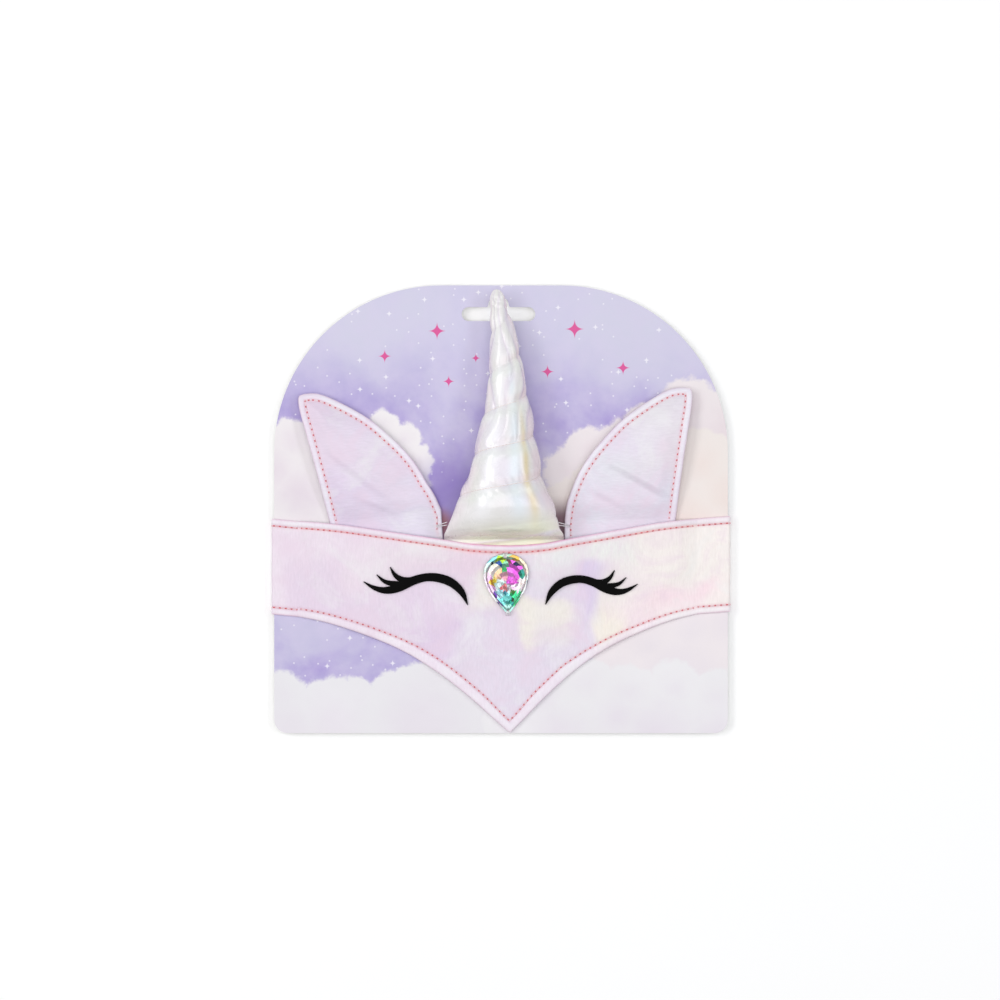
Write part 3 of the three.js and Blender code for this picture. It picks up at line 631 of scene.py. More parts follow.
# %% Strap's relief
def strap_relief(side, run, down, gap, behind):
    """Height of the outer face over the profile, at a run along it and a distance down from the top edge:
    soft waves, the hems' puff, less their dent, plus puckers. Behind the card the cloth is pressed flat."""
    puff, dent, beside = hem_relief(gap, TOP_HEM)
    pucker = np.cos(2 * np.pi * run / STITCH_PITCH)
    waves = 0.16 * soft_waves(run + 300 * side, down[:, None], 17, 41)
    # by the seam the strap's face is at the panel's height, and its own waves begin half a millimetre on
    clear = ease(run, 0.5, 7)
    relief = -0.27 + 0.07 * clear + waves * ease(gap, 3, 8) * clear
    relief = relief + (HEM_PUFF - 0.14 * clear) * puff - STITCH_DENT * dent + 0.1 * beside * pucker
    return np.minimum(relief, 0.1 - 0.1 * behind) - 0.38 * behind * dent


def strap_tint(x, y, gap):
    """The band's drifts of colour, with pale folded edges, pink along the stitch line that is partly the
    thread's colour and partly painted shade in its dent, and pink at the folded edges that is painted shade
    where the fold turns down.
    """
    tint = drift(np.clip(x, -CARD_HALF, CARD_HALF), y, BAND_DRIFTS, BAND_SEED)
    hem = np.broadcast_to(gap, x.shape)
    tint = toward(tint, "#F5EFF8", 0.6 * ease(hem, TOP_HEM - 0.3, TOP_HEM - 1.2))
    # pink along the stitch line: partly the coral thread's colour, partly painted shade in its dent
    tint = toward(tint, "#E9B7CB", 0.5 * bell(hem, TOP_HEM, 0.75))
    # pink at the folded edges: painted shade where the fold turns down
    return toward(tint, "#F0B9D6", 0.5 * bell(hem, 0, 0.7))


print("puff, dent and pucker on the stitch line:", [round(float(s), 2) for s in hem_relief(TOP_HEM, TOP_HEM)])


# %% Strap meshes
def make_strap(side, name):
    """One strap, its stitch lines and its length along the profile. side is -1 on the left and 1 on the
    right. The top edge dips by up to 1.2 mm from the card's edge to the seam."""
    x, z, out_x, out_z = strap_profile(STRAP_FRONT[side])
    run = np.concatenate([[0], np.cumsum(np.hypot(np.diff(x), np.diff(z)))])
    on_front = (z > CARD_FACE + 1.4).astype(float)
    dip = 1.2 * np.clip((CARD_HALF - x) / STRAP_FRONT[side], 0, 1) * on_front
    top = BAND_TOP + tilt(side * CARD_HALF) - dip
    body = np.linspace(HEM_STOPS[-1], STRAP_WIDTH - HEM_STOPS[-1], 22)[1:-1]
    down = np.concatenate([HEM_STOPS, body, STRAP_WIDTH - HEM_STOPS[::-1]])
    gap = np.minimum(down, STRAP_WIDTH - down)[:, None]
    relief = strap_relief(side, run, down, gap, (out_z < -0.99).astype(float))
    edge = np.where(run <= 0, 0, np.minimum(gap, run[-1] - run))
    half = fold_half(edge, CLOTH_WALL / 2)
    middle = relief - CLOTH_WALL / 2
    # the inner face keeps a whole wall from the profile, apart from the rim, which belongs to both faces
    inner = np.where(edge <= 0, middle, np.minimum(middle - half, -CLOTH_WALL))
    rows = top - down[:, None]
    front, back = (
        np.stack([side * (x + out_x * off), rows, z + out_z * off], -1) for off in (middle + half, inner)
    )
    if side < 0:
        front, back = front[:, ::-1], back[:, ::-1]
    points, faces = two_sided(front, back)
    tint = strap_tint(front[..., 0], front[..., 1], gap)
    lay = front[..., :2].copy()
    lay[..., 0] = side * (run if side > 0 else run[::-1])
    piece = make_piece(name, points, faces, band_satin, uv=both_sides(lay), tint=both_sides(tint))
    lines = []
    for line in (TOP_HEM, STRAP_WIDTH - TOP_HEM):
        depth = relief[np.argmin(np.abs(down - line))] + THREAD_LIFT
        path = np.stack([side * (x + out_x * depth), top - line, z + out_z * depth], -1)
        lines.append((path, np.stack([side * out_x, 0 * x, out_z], -1)))
    return piece, lines, float(run[-1])


strap_left, left_lines, left_run = make_strap(-1, "satin_strap_left")
strap_right, right_lines, right_run = make_strap(1, "satin_strap_right")
for strap, node, run in ((strap_left, "strap_left", left_run), (strap_right, "strap_right", right_run)):
    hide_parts(node)
print("straps are", round(left_run, 1), "and", round(right_run, 1), "mm long round the card's edge")

# %% [markdown]
# ## Elastic
# Behind the card a flat knitted elastic joins the straps. Knitted elastic shows fine ribs along its length,
# where each rubber thread runs, and small crosswise steps from the knit. It is a plain band, so a grid with
# that relief on both faces is enough.


# %% Elastic band
def make_elastic():
    """Ribs along the band are a cosine of the place across it, 1.6 mm apart, and the knit is a small
    cosine along it, 2 mm apart. Both fade out at the rim."""
    low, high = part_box("back_elastic")
    low, high = np.array(low) / MM, np.array(high) / MM
    x = np.linspace(low[0], high[0], 160)
    y = np.linspace(high[1], low[1], 101)
    gx, gy = np.meshgrid(x, y)
    edge = np.minimum.reduce([gx - low[0], high[0] - gx, gy - low[1], high[1] - gy])
    half = fold_half(edge, (high[2] - low[2]) / 2 - 0.12)
    ribs = 0.09 * np.cos(2 * np.pi * gy / 1.6) + 0.03 * np.cos(2 * np.pi * gx / 2.0)
    ribs = ribs * ease(edge, 0.1, 1.2)
    middle = (low[2] + high[2]) / 2
    front = np.stack([gx, gy, middle + half + ribs], -1)
    back = np.stack([gx, gy, middle - half - ribs], -1)
    return two_sided(front, back)


knit, tree, shader, place = new_material("flat_knitted_elastic")
# stitches of the knit are drawn 1 mm wide; the real ones are nearer half of that
loops = add_node(tree, "ShaderNodeTexVoronoi", {"Vector": place, "Scale": 1000.0, "Randomness": 0.4})
stain = add_node(tree, "ShaderNodeTexNoise", {"Vector": place, "Scale": 60.0, "Detail": 3.0})
shade = add_node(
    tree,
    "ShaderNodeMix",
    {0: loops.outputs["Distance"], 6: colour("#F4F0F5"), 7: colour("#D9D1DC")},
    data_type="RGBA",
)
aged = add_node(
    tree,
    "ShaderNodeMix",
    {0: stain.outputs[0], 6: shade.outputs[2], 7: colour("#EFE9EE")},
    data_type="RGBA",
)
weave = add_node(
    tree, "ShaderNodeBump", {"Strength": 0.4, "Distance": 0.0003, "Height": loops.outputs["Distance"]}
)
tree.links.new(aged.outputs[2], shader.inputs["Base Color"])
tree.links.new(weave.outputs[0], shader.inputs["Normal"])
shader.inputs["Roughness"].default_value = 0.8
shader.inputs["Sheen Weight"].default_value = 0.2

elastic_points, elastic_faces = make_elastic()
elastic = make_piece("knitted_elastic", elastic_points, elastic_faces, knit, uv=elastic_points[:, :2])
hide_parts("back_elastic")
print("elastic:", len(elastic_faces), "faces")

# %% [markdown]
# ## Ears
# An ear is two layers of satin with a thin sheet of foam between, sewn together and topstitched 3.5 mm in
# from the edge. So it is crowned inside the stitch line, pinched at it, and round outside it. It stands a
# little off the card and curls. The outline is a table of its two edges, and the distance to that outline
# drives the padding, the dent and the pale border.

# %% Ear's shape
EAR_UP = [0, 0.137, 0.266, 0.382, 0.51, 0.626, 0.755, 0.85, 0.929, 0.97, 0.992, 1]
EAR_INNER = [-0.018, 0.004, 0.056, 0.12, 0.224, 0.346, 0.503, 0.659, 0.812, 0.904, 0.973, 1.03]
EAR_OUTER = [1, 1.02, 1.04, 1.06, 1.082, 1.104, 1.128, 1.147, 1.156, 1.152, 1.135, 1.09]
EAR_WIDTH = {1: 56.3, -1: 54.4}
EAR_LEAN = math.radians(7.2)
EAR_FOOT = 33.5  # from the card's middle to the right ear's inner foot
LEFT_EAR_MIDDLE = EAR_FOOT + EAR_WIDTH[1] / 2 - 1.0
LEFT_EAR_RAISE = 1.2
EAR_HEM = 3.5
EAR_FOLD = 0.7  # half of the wall at its folded edge


def ear_sides(side, up):
    """The inner and outer edge at a share of the height. The left ear's inner edge spreads at its foot."""
    width = EAR_WIDTH[side]
    flare = 3.2 * np.clip(1 - up / 0.27, 0, 1) ** 1.2 * (side < 0)
    return through(EAR_UP, EAR_INNER, up) * width - flare, through(EAR_UP, EAR_OUTER, up) * width


def ear_place(side, across, up):
    """A place in the ear's outline on the card. The left ear is turned out by 7.2 degrees."""
    width = EAR_WIDTH[side]
    inner, outer = ear_sides(side, up)
    local_x, local_y = inner + (outer - inner) * across, up * EAR_HEIGHT
    if side > 0:
        return EAR_FOOT + local_x, EAR_BASE + local_y
    middle = local_x - width / 2
    x = middle * math.cos(EAR_LEAN) + local_y * math.sin(EAR_LEAN)
    y = local_y * math.cos(EAR_LEAN) - middle * math.sin(EAR_LEAN)
    return -(LEFT_EAR_MIDDLE + x), EAR_BASE + LEFT_EAR_RAISE + y


def ear_shares(side, x, y):
    """The share across and up of a place on the card: ear_place the other way round."""
    width = EAR_WIDTH[side]
    if side > 0:
        local_x, up = x - EAR_FOOT, (y - EAR_BASE) / EAR_HEIGHT
    else:
        turned_x, turned_y = -x - LEFT_EAR_MIDDLE, y - EAR_BASE - LEFT_EAR_RAISE
        local_x = turned_x * math.cos(EAR_LEAN) - turned_y * math.sin(EAR_LEAN) + width / 2
        up = (turned_x * math.sin(EAR_LEAN) + turned_y * math.cos(EAR_LEAN)) / EAR_HEIGHT
    inner, outer = ear_sides(side, up)
    return (local_x - inner) / (outer - inner), up


def edge_distance(x, y, line):
    """Distance from each place to a line of points: the least distance to its segments."""
    places = np.stack([x.ravel(), y.ravel()], -1)
    start, along = line[:-1], np.diff(line, axis=0)
    squared = (along**2).sum(-1)
    parts = []
    for some in np.array_split(places, max(1, len(places) // 2000)):
        offset = some[:, None] - start
        share = np.clip((offset * along).sum(-1) / squared, 0, 1)
        parts.append(np.linalg.norm(offset - share[..., None] * along, axis=-1).min(1))
    return np.concatenate(parts).reshape(x.shape)


def ear_outline(side):
    """The open outline from the inner foot up round the tip and down to the outer foot. Both feet run on
    straight down behind the panel."""
    up = 1 - (1 - np.linspace(0, 1, 160)) ** 1.6
    inner = np.stack(ear_place(side, 0 * up, up), -1)
    outer = np.stack(ear_place(side, 0 * up + 1, up[::-1]), -1)
    tip = np.stack(ear_place(side, np.linspace(0, 1, 8)[1:-1], np.ones(6)), -1)
    down = np.arange(9, 0, -0.5)[:, None] * [0, -1]
    return np.concatenate([inner[0] + down, inner, tip, outer, outer[-1] + down[::-1]])


def crease(x, y, start, end, width):
    """A soft fold along a line: a ridge beside a dip, which fade out towards the line's ends."""
    start, end = np.array(start, float), np.array(end, float)
    run = np.linalg.norm(end - start)
    unit = (end - start) / run
    along = (x - start[0]) * unit[0] + (y - start[1]) * unit[1]
    aside = (x - start[0]) * -unit[1] + (y - start[1]) * unit[0]
    fade = ease(along, -6, 6) * ease(along, run + 6, run - 6)
    return fade * (bell(aside, 0, width) - 0.8 * bell(aside, -1.5 * width, width))


# soft folds of each ear: from, to, width and depth
EAR_CREASES = {
    1: [((57, 24), (86, 8), 2.2, 0.75), ((45, 12), (62, 3), 2.0, 0.3), ((78, 42), (92, 26), 2.6, 0.25)],
    -1: [((-88, 30), (-60, 8), 2.4, 0.45), ((-72, 6), (-48, -4), 2.0, 0.3), ((-94, 44), (-80, 34), 2.2, 0.2)],
}


def ear_heights(side, x, y, across, up, edge):
    """Mid height of the wall and its half thickness: the curl that lifts the ear off the card, the padding
    that swells inside the stitch line, the dent of the stitches, and soft creases."""
    free = np.clip((up - 0.03) / 0.97, 0, 1)
    low = CARD_FACE + 0.4 + (3.2 + 1.6 * across) * np.sin(0.8 * np.pi * free)
    swell = ease(edge, EAR_HEM - 0.2, EAR_HEM + 8) * np.clip(free / 0.12, 0, 1)
    puff, dent, _ = hem_relief(edge, EAR_HEM)
    dent = dent * ease(free, 0.0, 0.05)
    waves = 0.16 * soft_waves(x, y, 21, 60 + side) * swell
    folds = sum(deep * crease(x, y, a, b, wide) for a, b, wide, deep in EAR_CREASES[side])
    top = low + 1.25 + 0.95 * swell + 0.3 * puff - 0.34 * dent + waves + 0.9 * folds * swell
    full = (top - low) / 2
    half = np.maximum(np.minimum(fold_half(edge, EAR_FOLD), full), full * ease(edge, 0, EAR_FOLD))
    return (top + low) / 2, np.where(edge <= 1e-6, 0, half)


print("ears are", EAR_HEIGHT, "mm high and", list(EAR_WIDTH.values()), "mm wide at the base")

# %% Ear meshes
LEFT_EAR_DRIFTS = [
    (-58, 6, 14, 12, "#E3D9EA"),
    (-70, 2, 12, 10, "#E0D2E8"),
    (-62, 22, 12, 12, "#E3D6E7"),
    (-76, 20, 12, 12, "#E6D8E9"),
    (-84, 12, 9, 9, "#E2D3EA"),
    (-78, 40, 14, 10, "#E3D9EA"),
    (-92, 46, 12, 10, "#E3D2E5"),
    (-94, 30, 10, 12, "#E4D6E6"),
    (-48, 0, 9, 9, "#E3DDED"),
]
RIGHT_EAR_DRIFTS = [
    (44, 2, 12, 9, "#E6E3F0"),
    (50, 14, 10, 10, "#E4DFEC"),
    (62, 4, 12, 9, "#E5DBEA"),
    (72, 20, 12, 12, "#E7DFE9"),
    (84, 6, 10, 9, "#E2DEEC"),
    (66, 34, 12, 9, "#E6DEEE"),
    (84, 34, 12, 12, "#E8DFE8"),
    (88, 50, 12, 9, "#E7E0EA"),
    (60, 24, 8, 8, "#E3E5EC"),
]


def make_ear(side, name, drifts):
    """A grid of shares across and up, with its rows closest near the tip and its columns near the edges."""
    fine = np.array([0, 0.004, 0.012, 0.026, 0.042, 0.056, 0.068, 0.082, 0.1])
    across = np.concatenate([fine, np.linspace(0.1, 0.9, 60)[1:-1], 1 - fine[::-1]])
    from_tip = np.array([0, 0.0015, 0.004, 0.008, 0.014, 0.022, 0.032, 0.044])
    up = np.concatenate([1 - from_tip, np.linspace(0.945, 0, 96)])
    if side < 0:
        across = across[::-1]
    grid_across, grid_up = np.meshgrid(across, up)
    x, y = ear_place(side, grid_across, grid_up)
    # the foot runs on behind the panel, to 5 mm under its top edge
    seam = panel_edges(x)[1] - 5
    y = y + (seam - y) * np.clip(1 - grid_up / 0.04, 0, 1)
    outline = ear_outline(side)
    edge = edge_distance(x, y, outline)
    edge[0, :] = 0
    edge[:, [0, -1]] = 0
    middle, half = ear_heights(side, x, y, grid_across, grid_up, edge)
    half[-1, :] = 0
    front, back = (np.stack([x, y, middle + sign * half], -1) for sign in (1, -1))
    points, faces = two_sided(front, back)
    tint = drift(x, y, drifts, 71 + side, wander=5)
    tint = toward(tint, "#F1EDF9", 0.75 * ease(edge, EAR_HEM - 0.2, EAR_HEM - 1.0))
    # pink along the stitch line: partly the coral thread's colour, partly painted shade in its dent
    tint = toward(tint, "#F3C9D4", 0.55 * bell(edge, EAR_HEM, 0.8))
    # pink at the folded edge: painted shade where the fold turns down
    tint = toward(tint, "#EBC6DA", 0.45 * bell(edge, 0, 0.6))
    piece = make_piece(name, points, faces, ear_satin, uv=points[:, :2], tint=both_sides(tint))
    # the stitch line: the outline moved in by the hem, without the places where that comes too close
    along = np.gradient(outline, axis=0)
    along /= np.linalg.norm(along, axis=1, keepdims=True)
    line = outline + EAR_HEM * side * np.stack([along[:, 1], -along[:, 0]], -1)
    keep = edge_distance(line[:, 0], line[:, 1], outline) > EAR_HEM - 0.06
    keep &= line[:, 1] > panel_edges(line[:, 0])[1] + 0.1
    line = line[keep]
    line_across, line_up = ear_shares(side, line[:, 0], line[:, 1])
    line_edge = np.full(len(line), EAR_HEM)
    mid, thick = ear_heights(side, line[:, 0], line[:, 1], line_across, line_up, line_edge)
    path = np.column_stack([line, mid + thick + THREAD_LIFT])
    return piece, (path, straight_up(path))


ear_left, ear_left_line = make_ear(-1, "satin_ear_left", LEFT_EAR_DRIFTS)
ear_right, ear_right_line = make_ear(1, "satin_ear_right", RIGHT_EAR_DRIFTS)
for ear, node in ((ear_left, "ear_left"), (ear_right, "ear_right")):
    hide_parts(node)
print("ears:", len(ear_left.data.polygons) + len(ear_right.data.polygons), "faces")

# %% [markdown]
# ## Topstitching
# The band and ears are sewn with coral polyester thread, about eight needle holes to the inch. Between two
# holes the thread lies on the cloth, and at a hole it dives; the darker dot there is painted shade in the
# needle hole. The stitches go into one piece, with a value on each corner that says how close it is to a hole.


# %% Sewing thread
def sewing_thread(name, bands, wander, dark, light, roughness):
    """Polyester thread of two plies. Their twist shows as slanting bands of two near colours, painted light
    and shade on the plies, drawn 2 to 2.4 mm apart. On real thread they are under 1 mm apart. Also returns the
    bands and their colour."""
    material, tree, shader, place = new_material(name)
    plies = add_node(
        tree,
        "ShaderNodeTexWave",
        {"Vector": place, "Scale": bands, "Distortion": wander},
        bands_direction="DIAGONAL",
    )
    lit = add_node(
        tree,
        "ShaderNodeMix",
        {0: plies.outputs["Fac"], 6: colour(dark), 7: colour(light)},
        data_type="RGBA",
    )
    tree.links.new(lit.outputs[2], shader.inputs["Base Color"])
    shader.inputs["Roughness"].default_value = roughness
    return material, tree, shader, plies.outputs["Fac"], lit.outputs[2]


def raise_plies(tree, shader, plies):
    """The twist as a small bump."""
    twist = add_node(tree, "ShaderNodeBump", {"Strength": 0.3, "Distance": 0.0001, "Height": plies})
    tree.links.new(twist.outputs[0], shader.inputs["Normal"])


thread, tree, shader, plies, lit = sewing_thread(
    "coral_polyester_thread", 260.0, 0.6, "#E9A7AE", "#F3BEBD", roughness=0.5
)
raise_plies(tree, shader, plies)
worn = add_node(tree, "ShaderNodeAttribute", attribute_name="pale")
faded = add_node(
    tree, "ShaderNodeMix", {0: worn.outputs["Fac"], 6: lit, 7: colour("#F7E4EA")}, data_type="RGBA"
)
# painted shade: the thread turns deep coral where it dives into a needle hole
dive = add_node(tree, "ShaderNodeAttribute", attribute_name="hole")
dark = add_node(
    tree,
    "ShaderNodeMix",
    {0: dive.outputs["Fac"], 6: faded.outputs[2], 7: colour("#DC5E68")},
    data_type="RGBA",
)
tree.links.new(dark.outputs[2], shader.inputs["Base Color"])
shader.inputs["Sheen Weight"].default_value = 0.1
print("coral thread ready, with", len(tree.nodes), "nodes")

# %% Stitches on band and ears
line_x = np.linspace(SEAM_LEFT + 0.65, SEAM_RIGHT - 0.65, 500)
_, line_top, line_bottom = panel_edges(line_x)
line_longer_top, line_longer_low = panel_slopes(line_x)
seams = []
for line_y in (line_top - TOP_HEM * line_longer_top, line_bottom + lower_hem(line_x) * line_longer_low):
    path = np.stack([line_x, line_y, panel_height(line_x, line_y) + THREAD_LIFT], -1)
    seams.append((path, straight_up(path)))
seams += left_lines + right_lines + [ear_left_line, ear_right_line]
sewn = [stitch_line(path, up) for path, up in seams]
stitch_points, stitch_faces = join(sewn)
# behind the card the stitches are pressed level with the cloth that the part lies on
stitch_points[:, 2] = np.maximum(stitch_points[:, 2], 0)
stitch_count = len(stitch_points) // STITCH_CORNERS
hole = np.tile(np.repeat(STITCH_HOLES, THREAD_SIDES), stitch_count)
# the thread lies looser along the top edge, so more of its colour shows there than on the ears
pale_share = [0.2, 0.7, 0.3, 0.6, 0.3, 0.6, 1.0, 1.0]
pale = np.concatenate([np.full(len(part[0]), share) for part, share in zip(sewn, pale_share)])
stitching = make_piece(
    "coral_topstitching", stitch_points, stitch_faces, thread, values={"hole": hole, "pale": pale}
)
print("topstitching:", stitch_count, "stitches")

# %% [markdown]
# ## Horn
# The horn is a cone of pearl foil satin, filled with loose fibre and wound with thread that is pulled tight,
# so the cloth bulges between the turns and gathers into folds towards the tip. A cloth simulation with a
# cord would do it, but slowly, and the folds would land anywhere. The surface is worked out instead: a table
# of sections, less a sharp dent along the thread's helix, less folds that run up the horn with a slight
# twist, plus small puckers that fan out from the thread.

# %% Horn's shape
# sections from the seam to the tip: share of the length, half width, half depth, how far the middle stands
# to the right, how far it stands off the card, and how deep the folds are
HORN_SECTIONS = [
    (-0.04, 0.94, 0.11, 0.45, 0.22, 0),
    (0, 0.965, 0.13, 0.48, 0.24, 0),
    (0.018, 0.962, 0.42, 0.42, 0.52, 0),
    (0.046, 0.905, 0.72, 0.36, 0.8, 0),
    (0.092, 0.857, 0.92, 0.62, 0.98, 0),
    (0.146, 0.784, 1, 0.72, 1.05, 0),
    (0.202, 0.682, 1, 0.53, 1.05, 0.1),
    (0.27, 0.582, 0.96, 0.62, 1.02, 0.2),
    (0.333, 0.536, 0.92, 0.78, 1, 0.3),
    (0.4, 0.48, 0.84, 0.9, 0.95, 0.5),
    (0.523, 0.381, 0.71, 1, 0.88, 0.8),
    (0.595, 0.33, 0.63, 0.95, 0.84, 1),
    (0.758, 0.247, 0.48, 0.62, 0.75, 1),
    (0.873, 0.19, 0.36, 0.06, 0.69, 1),
    (0.94, 0.125, 0.25, -0.4, 0.66, 0.9),
    (0.968, 0.122, 0.24, -0.55, 0.65, 0.6),
    (0.99, 0.085, 0.17, -0.65, 0.64, 0.3),
    (1, 0.04, 0.08, -0.7, 0.64, 0),
]
HORN_ALONG, HORN_HALF, HORN_DEPTH, HORN_LEAN, HORN_RISE, HORN_PLEATS = zip(*HORN_SECTIONS)
HORN_SEAM = float(panel_edges(np.array([POINT_X]))[1][0]) + 3
THREAD_PITCH = 20.8
THREAD_FIRST = 22.6  # height of the first turn over the seam


def thread_distance(along, angle):
    """Distance along the horn to the nearest turn of its thread, positive above the turn."""
    turn = (along - THREAD_FIRST) / THREAD_PITCH - (np.pi - angle) / (2 * np.pi)
    return (turn - np.round(turn)) * THREAD_PITCH


def horn_roll(x):
    """Height above the seam of the roll of cloth at the horn's foot, which climbs to the right."""
    return -0.4 + 0.1 * x + 0.0028 * np.clip(x, 0, None) ** 2


def seam_tag(x, over_roll):
    """1 on the small tag of cloth at the right end of the roll, and 0 away from it."""
    return np.exp(-(((x - 24) / 3.2) ** 2) - ((over_roll + 0.8) / 1.4) ** 2)


def horn_folds(share, angle):
    """Seven folds round the horn that wander as they climb: 0 in a valley and 1 on a crest."""
    wander = 1.3 * np.sin(angle + share * 11) + 0.8 * np.sin(2 * angle - share * 19)
    return np.abs(np.sin(3.5 * angle + np.pi * 0.25 * share * 7 + wander))


def horn_surface(along, angle):
    """The horn's skin. Its section at each height is an ellipse, drawn in by the folds, the thread's dent and
    the puckers beside it."""
    share = along / HORN_LENGTH

    def read(column):
        return through(HORN_ALONG, column, share)

    wound = np.clip(share / 0.07, 0, 1) * np.clip((1 - share) / 0.07, 0, 1)
    off = thread_distance(along, angle)
    dent = 0.8 * bell(off, 0, 3.2) + 0.3 * bell(off, 0, 0.7)
    girth = HORN_HALF_WIDTH * read(HORN_HALF)
    around = angle * np.maximum(girth, 4)
    ripples = np.cos(2 * np.pi * around / 4.6 + 2.2 * soft_waves(along, around, 30, 83))
    ripples = ripples * bell(np.abs(off), 2.4, 2.6) * 0.07 * ease(girth, 6, 18)
    slack = 0.42 * soft_waves(along, around * 1.6, 34, 85) * ease(along, 4, 16) * ease(girth, 3, 14)
    gather = 1 - 0.075 * read(HORN_PLEATS) * (1 - horn_folds(share, angle))
    creased = np.abs(np.sin(5 * angle + 14 * share + 1.6 * soft_waves(along, around, 30, 87)))
    fine = 0.2 * read(HORN_PLEATS) * (creased - 0.6)
    # the gathered tip is a small wrinkled knob
    fine = fine + 0.4 * ease(share, 0.91, 0.95) * soft_waves(along, around, 3.2, 89)
    x_reach, z_reach = girth * gather, HORN_HALF_DEPTH * read(HORN_DEPTH) * gather
    drawn = wound * (dent - ripples) - slack * wound - fine * wound
    x = 3.25 * read(HORN_LEAN) + np.maximum(x_reach - drawn, x_reach / 2) * np.cos(angle)
    z = CARD_FACE + HORN_HALF_DEPTH * read(HORN_RISE)
    z = z + np.maximum(z_reach - drawn, z_reach / 2) * np.sin(angle)
    # the sewn end's fold: a low roll of cloth that climbs from the left of the seam to the right
    over_roll = along - horn_roll(x)
    roll = bell(over_roll, 0, 0.9) * ease(x, 30, 25)
    z = z + (0.7 * roll + 0.9 * seam_tag(x, over_roll)) * np.clip(np.sin(angle), 0, 1)
    return np.stack([x, HORN_SEAM + along, z], -1)


print("the horn's seam is at y =", round(HORN_SEAM, 2), "mm")

# %% Pearl foil satin
foil_satin, tree, shader, place = new_material("pearl_foil_satin")
tint = add_node(tree, "ShaderNodeAttribute", attribute_name="tint")
# foil on satin is flecked by the threads under it, drawn here 1.1 mm across
fleck = add_node(
    tree, "ShaderNodeTexNoise", {"Vector": place, "Scale": 900.0, "Detail": 2.0, "Roughness": 0.6}
)
bloom = add_node(
    tree,
    "ShaderNodeTexNoise",
    {"Vector": place, "Scale": 75.0, "Detail": 4.0, "Roughness": 0.5, "Distortion": 0.6},
)
shade = add_node(
    tree, "ShaderNodeMapRange", {"Value": bloom.outputs[0], **NOISE_SPAN, "To Min": 0.96, "To Max": 1.03}
)
shaded = add_node(
    tree, "ShaderNodeVectorMath", {0: tint.outputs["Color"], "Scale": shade.outputs[0]}, operation="SCALE"
)
uneven = add_node(
    tree, "ShaderNodeMapRange", {"Value": bloom.outputs[0], **NOISE_SPAN, "To Min": 0.2, "To Max": 0.36}
)
bump = add_node(tree, "ShaderNodeBump", {"Strength": 0.12, "Distance": 0.0002, "Height": fleck.outputs[0]})
tree.links.new(shaded.outputs[0], shader.inputs["Base Color"])
tree.links.new(uneven.outputs[0], shader.inputs["Roughness"])
tree.links.new(bump.outputs[0], shader.inputs["Normal"])
shader.inputs["IOR"].default_value = 1.5
shader.inputs["Specular IOR Level"].default_value = 0.7
shader.inputs["Coat Weight"].default_value = 0.35
shader.inputs["Coat Roughness"].default_value = 0.16
shader.inputs["Thin Film Thickness"].default_value = 420.0
shader.inputs["Thin Film IOR"].default_value = 1.6
print("foil satin ready")


# %% Horn's mesh
def horn_tint(along, angle):
    """Pearl white with painted light and shade: a white highlight up the left and a blue-white one right of
    the middle, an ochre reflection up the right flank, paler pink flanks, green under the seam's fold that
    lightens its shade, and creases with painted shade in their valleys and painted sheen on their crests
    towards the tip."""
    share = along / HORN_LENGTH
    side = np.cos(angle)
    tint = np.zeros((*along.shape, 3)) + np.array(colour("#EEEBED")[:3])
    drifted = soft_waves(along, angle * 18, 30, 91)
    tint = toward(tint, "#E1D8EC", 0.45 * ease(drifted, 0.2, 1.4))
    tint = toward(tint, "#EBEDE0", 0.45 * ease(drifted, -0.2, -1.4))
    # painted highlights: white up the left, blue-white right of the middle, and a painted ochre reflection up
    # the right flank
    tint = toward(tint, "#FAFAFE", 0.95 * bell(side, -0.45, 0.22) * ease(share, 1.0, 0.7))
    tint = toward(tint, "#E9F3FA", 0.85 * bell(side, 0.26, 0.17) * ease(share, 0.85, 0.5))
    tint = toward(tint, "#EAD9AC", 0.85 * bell(side, 0.58, 0.09) * ease(share, 0.6, 0.35))
    # painted light: both flanks paler and pinker
    tint = toward(tint, "#F1E0E8", 0.8 * ease(side, 0.68, 0.9))
    tint = toward(tint, "#F6E9F1", 0.8 * ease(side, -0.72, -0.95))
    folds = horn_folds(share, angle)
    high = ease(share, 0.35, 0.65)
    # painted shade in the folds' valleys and painted sheen on their crests
    tint = toward(tint, "#DCCDE2", 0.35 * high * ease(folds, 0.45, 0.1))
    tint = toward(tint, "#F1F1EC", 0.45 * high * ease(folds, 0.6, 0.95))
    # at each turn the pulled-in cloth is painted rosy above the thread, shade in the pinch that is stronger on
    # the right, and green-white below it, a painted reflection on the bulge
    off = thread_distance(along, angle)
    wound = ease(along, 14, 20) * ease(share, 0.9, 0.7)
    tint = toward(tint, "#E6CFCE", 0.45 * wound * bell(off, 2.0, 2.0) * (0.5 + 0.5 * side))
    tint = toward(tint, "#EDF4EC", 0.4 * wound * bell(off, -4.0, 3.0))
    # painted light: the lowest 22 mm are paler, against the shade of the panel's edge
    tint = toward(tint, "#F4F2F0", 0.6 * ease(along, 22, 8))
    # green-yellow over the seam, painted light over the shade there, and pale rose on the roll and its tag
    x = horn_surface(along, angle)[..., 0]
    over_roll = along - horn_roll(x)
    under = ease(over_roll, 14, 0) * np.exp(-(((x - 4) / 26) ** 4))
    tint = toward(tint, "#F4F7D6", 0.85 * under)
    tint = toward(tint, "#F8EEF2", 0.8 * bell(over_roll, 0, 0.8))
    return toward(tint, "#F4F4FC", 0.9 * seam_tag(x, over_roll))


HORN_SIDES = 208
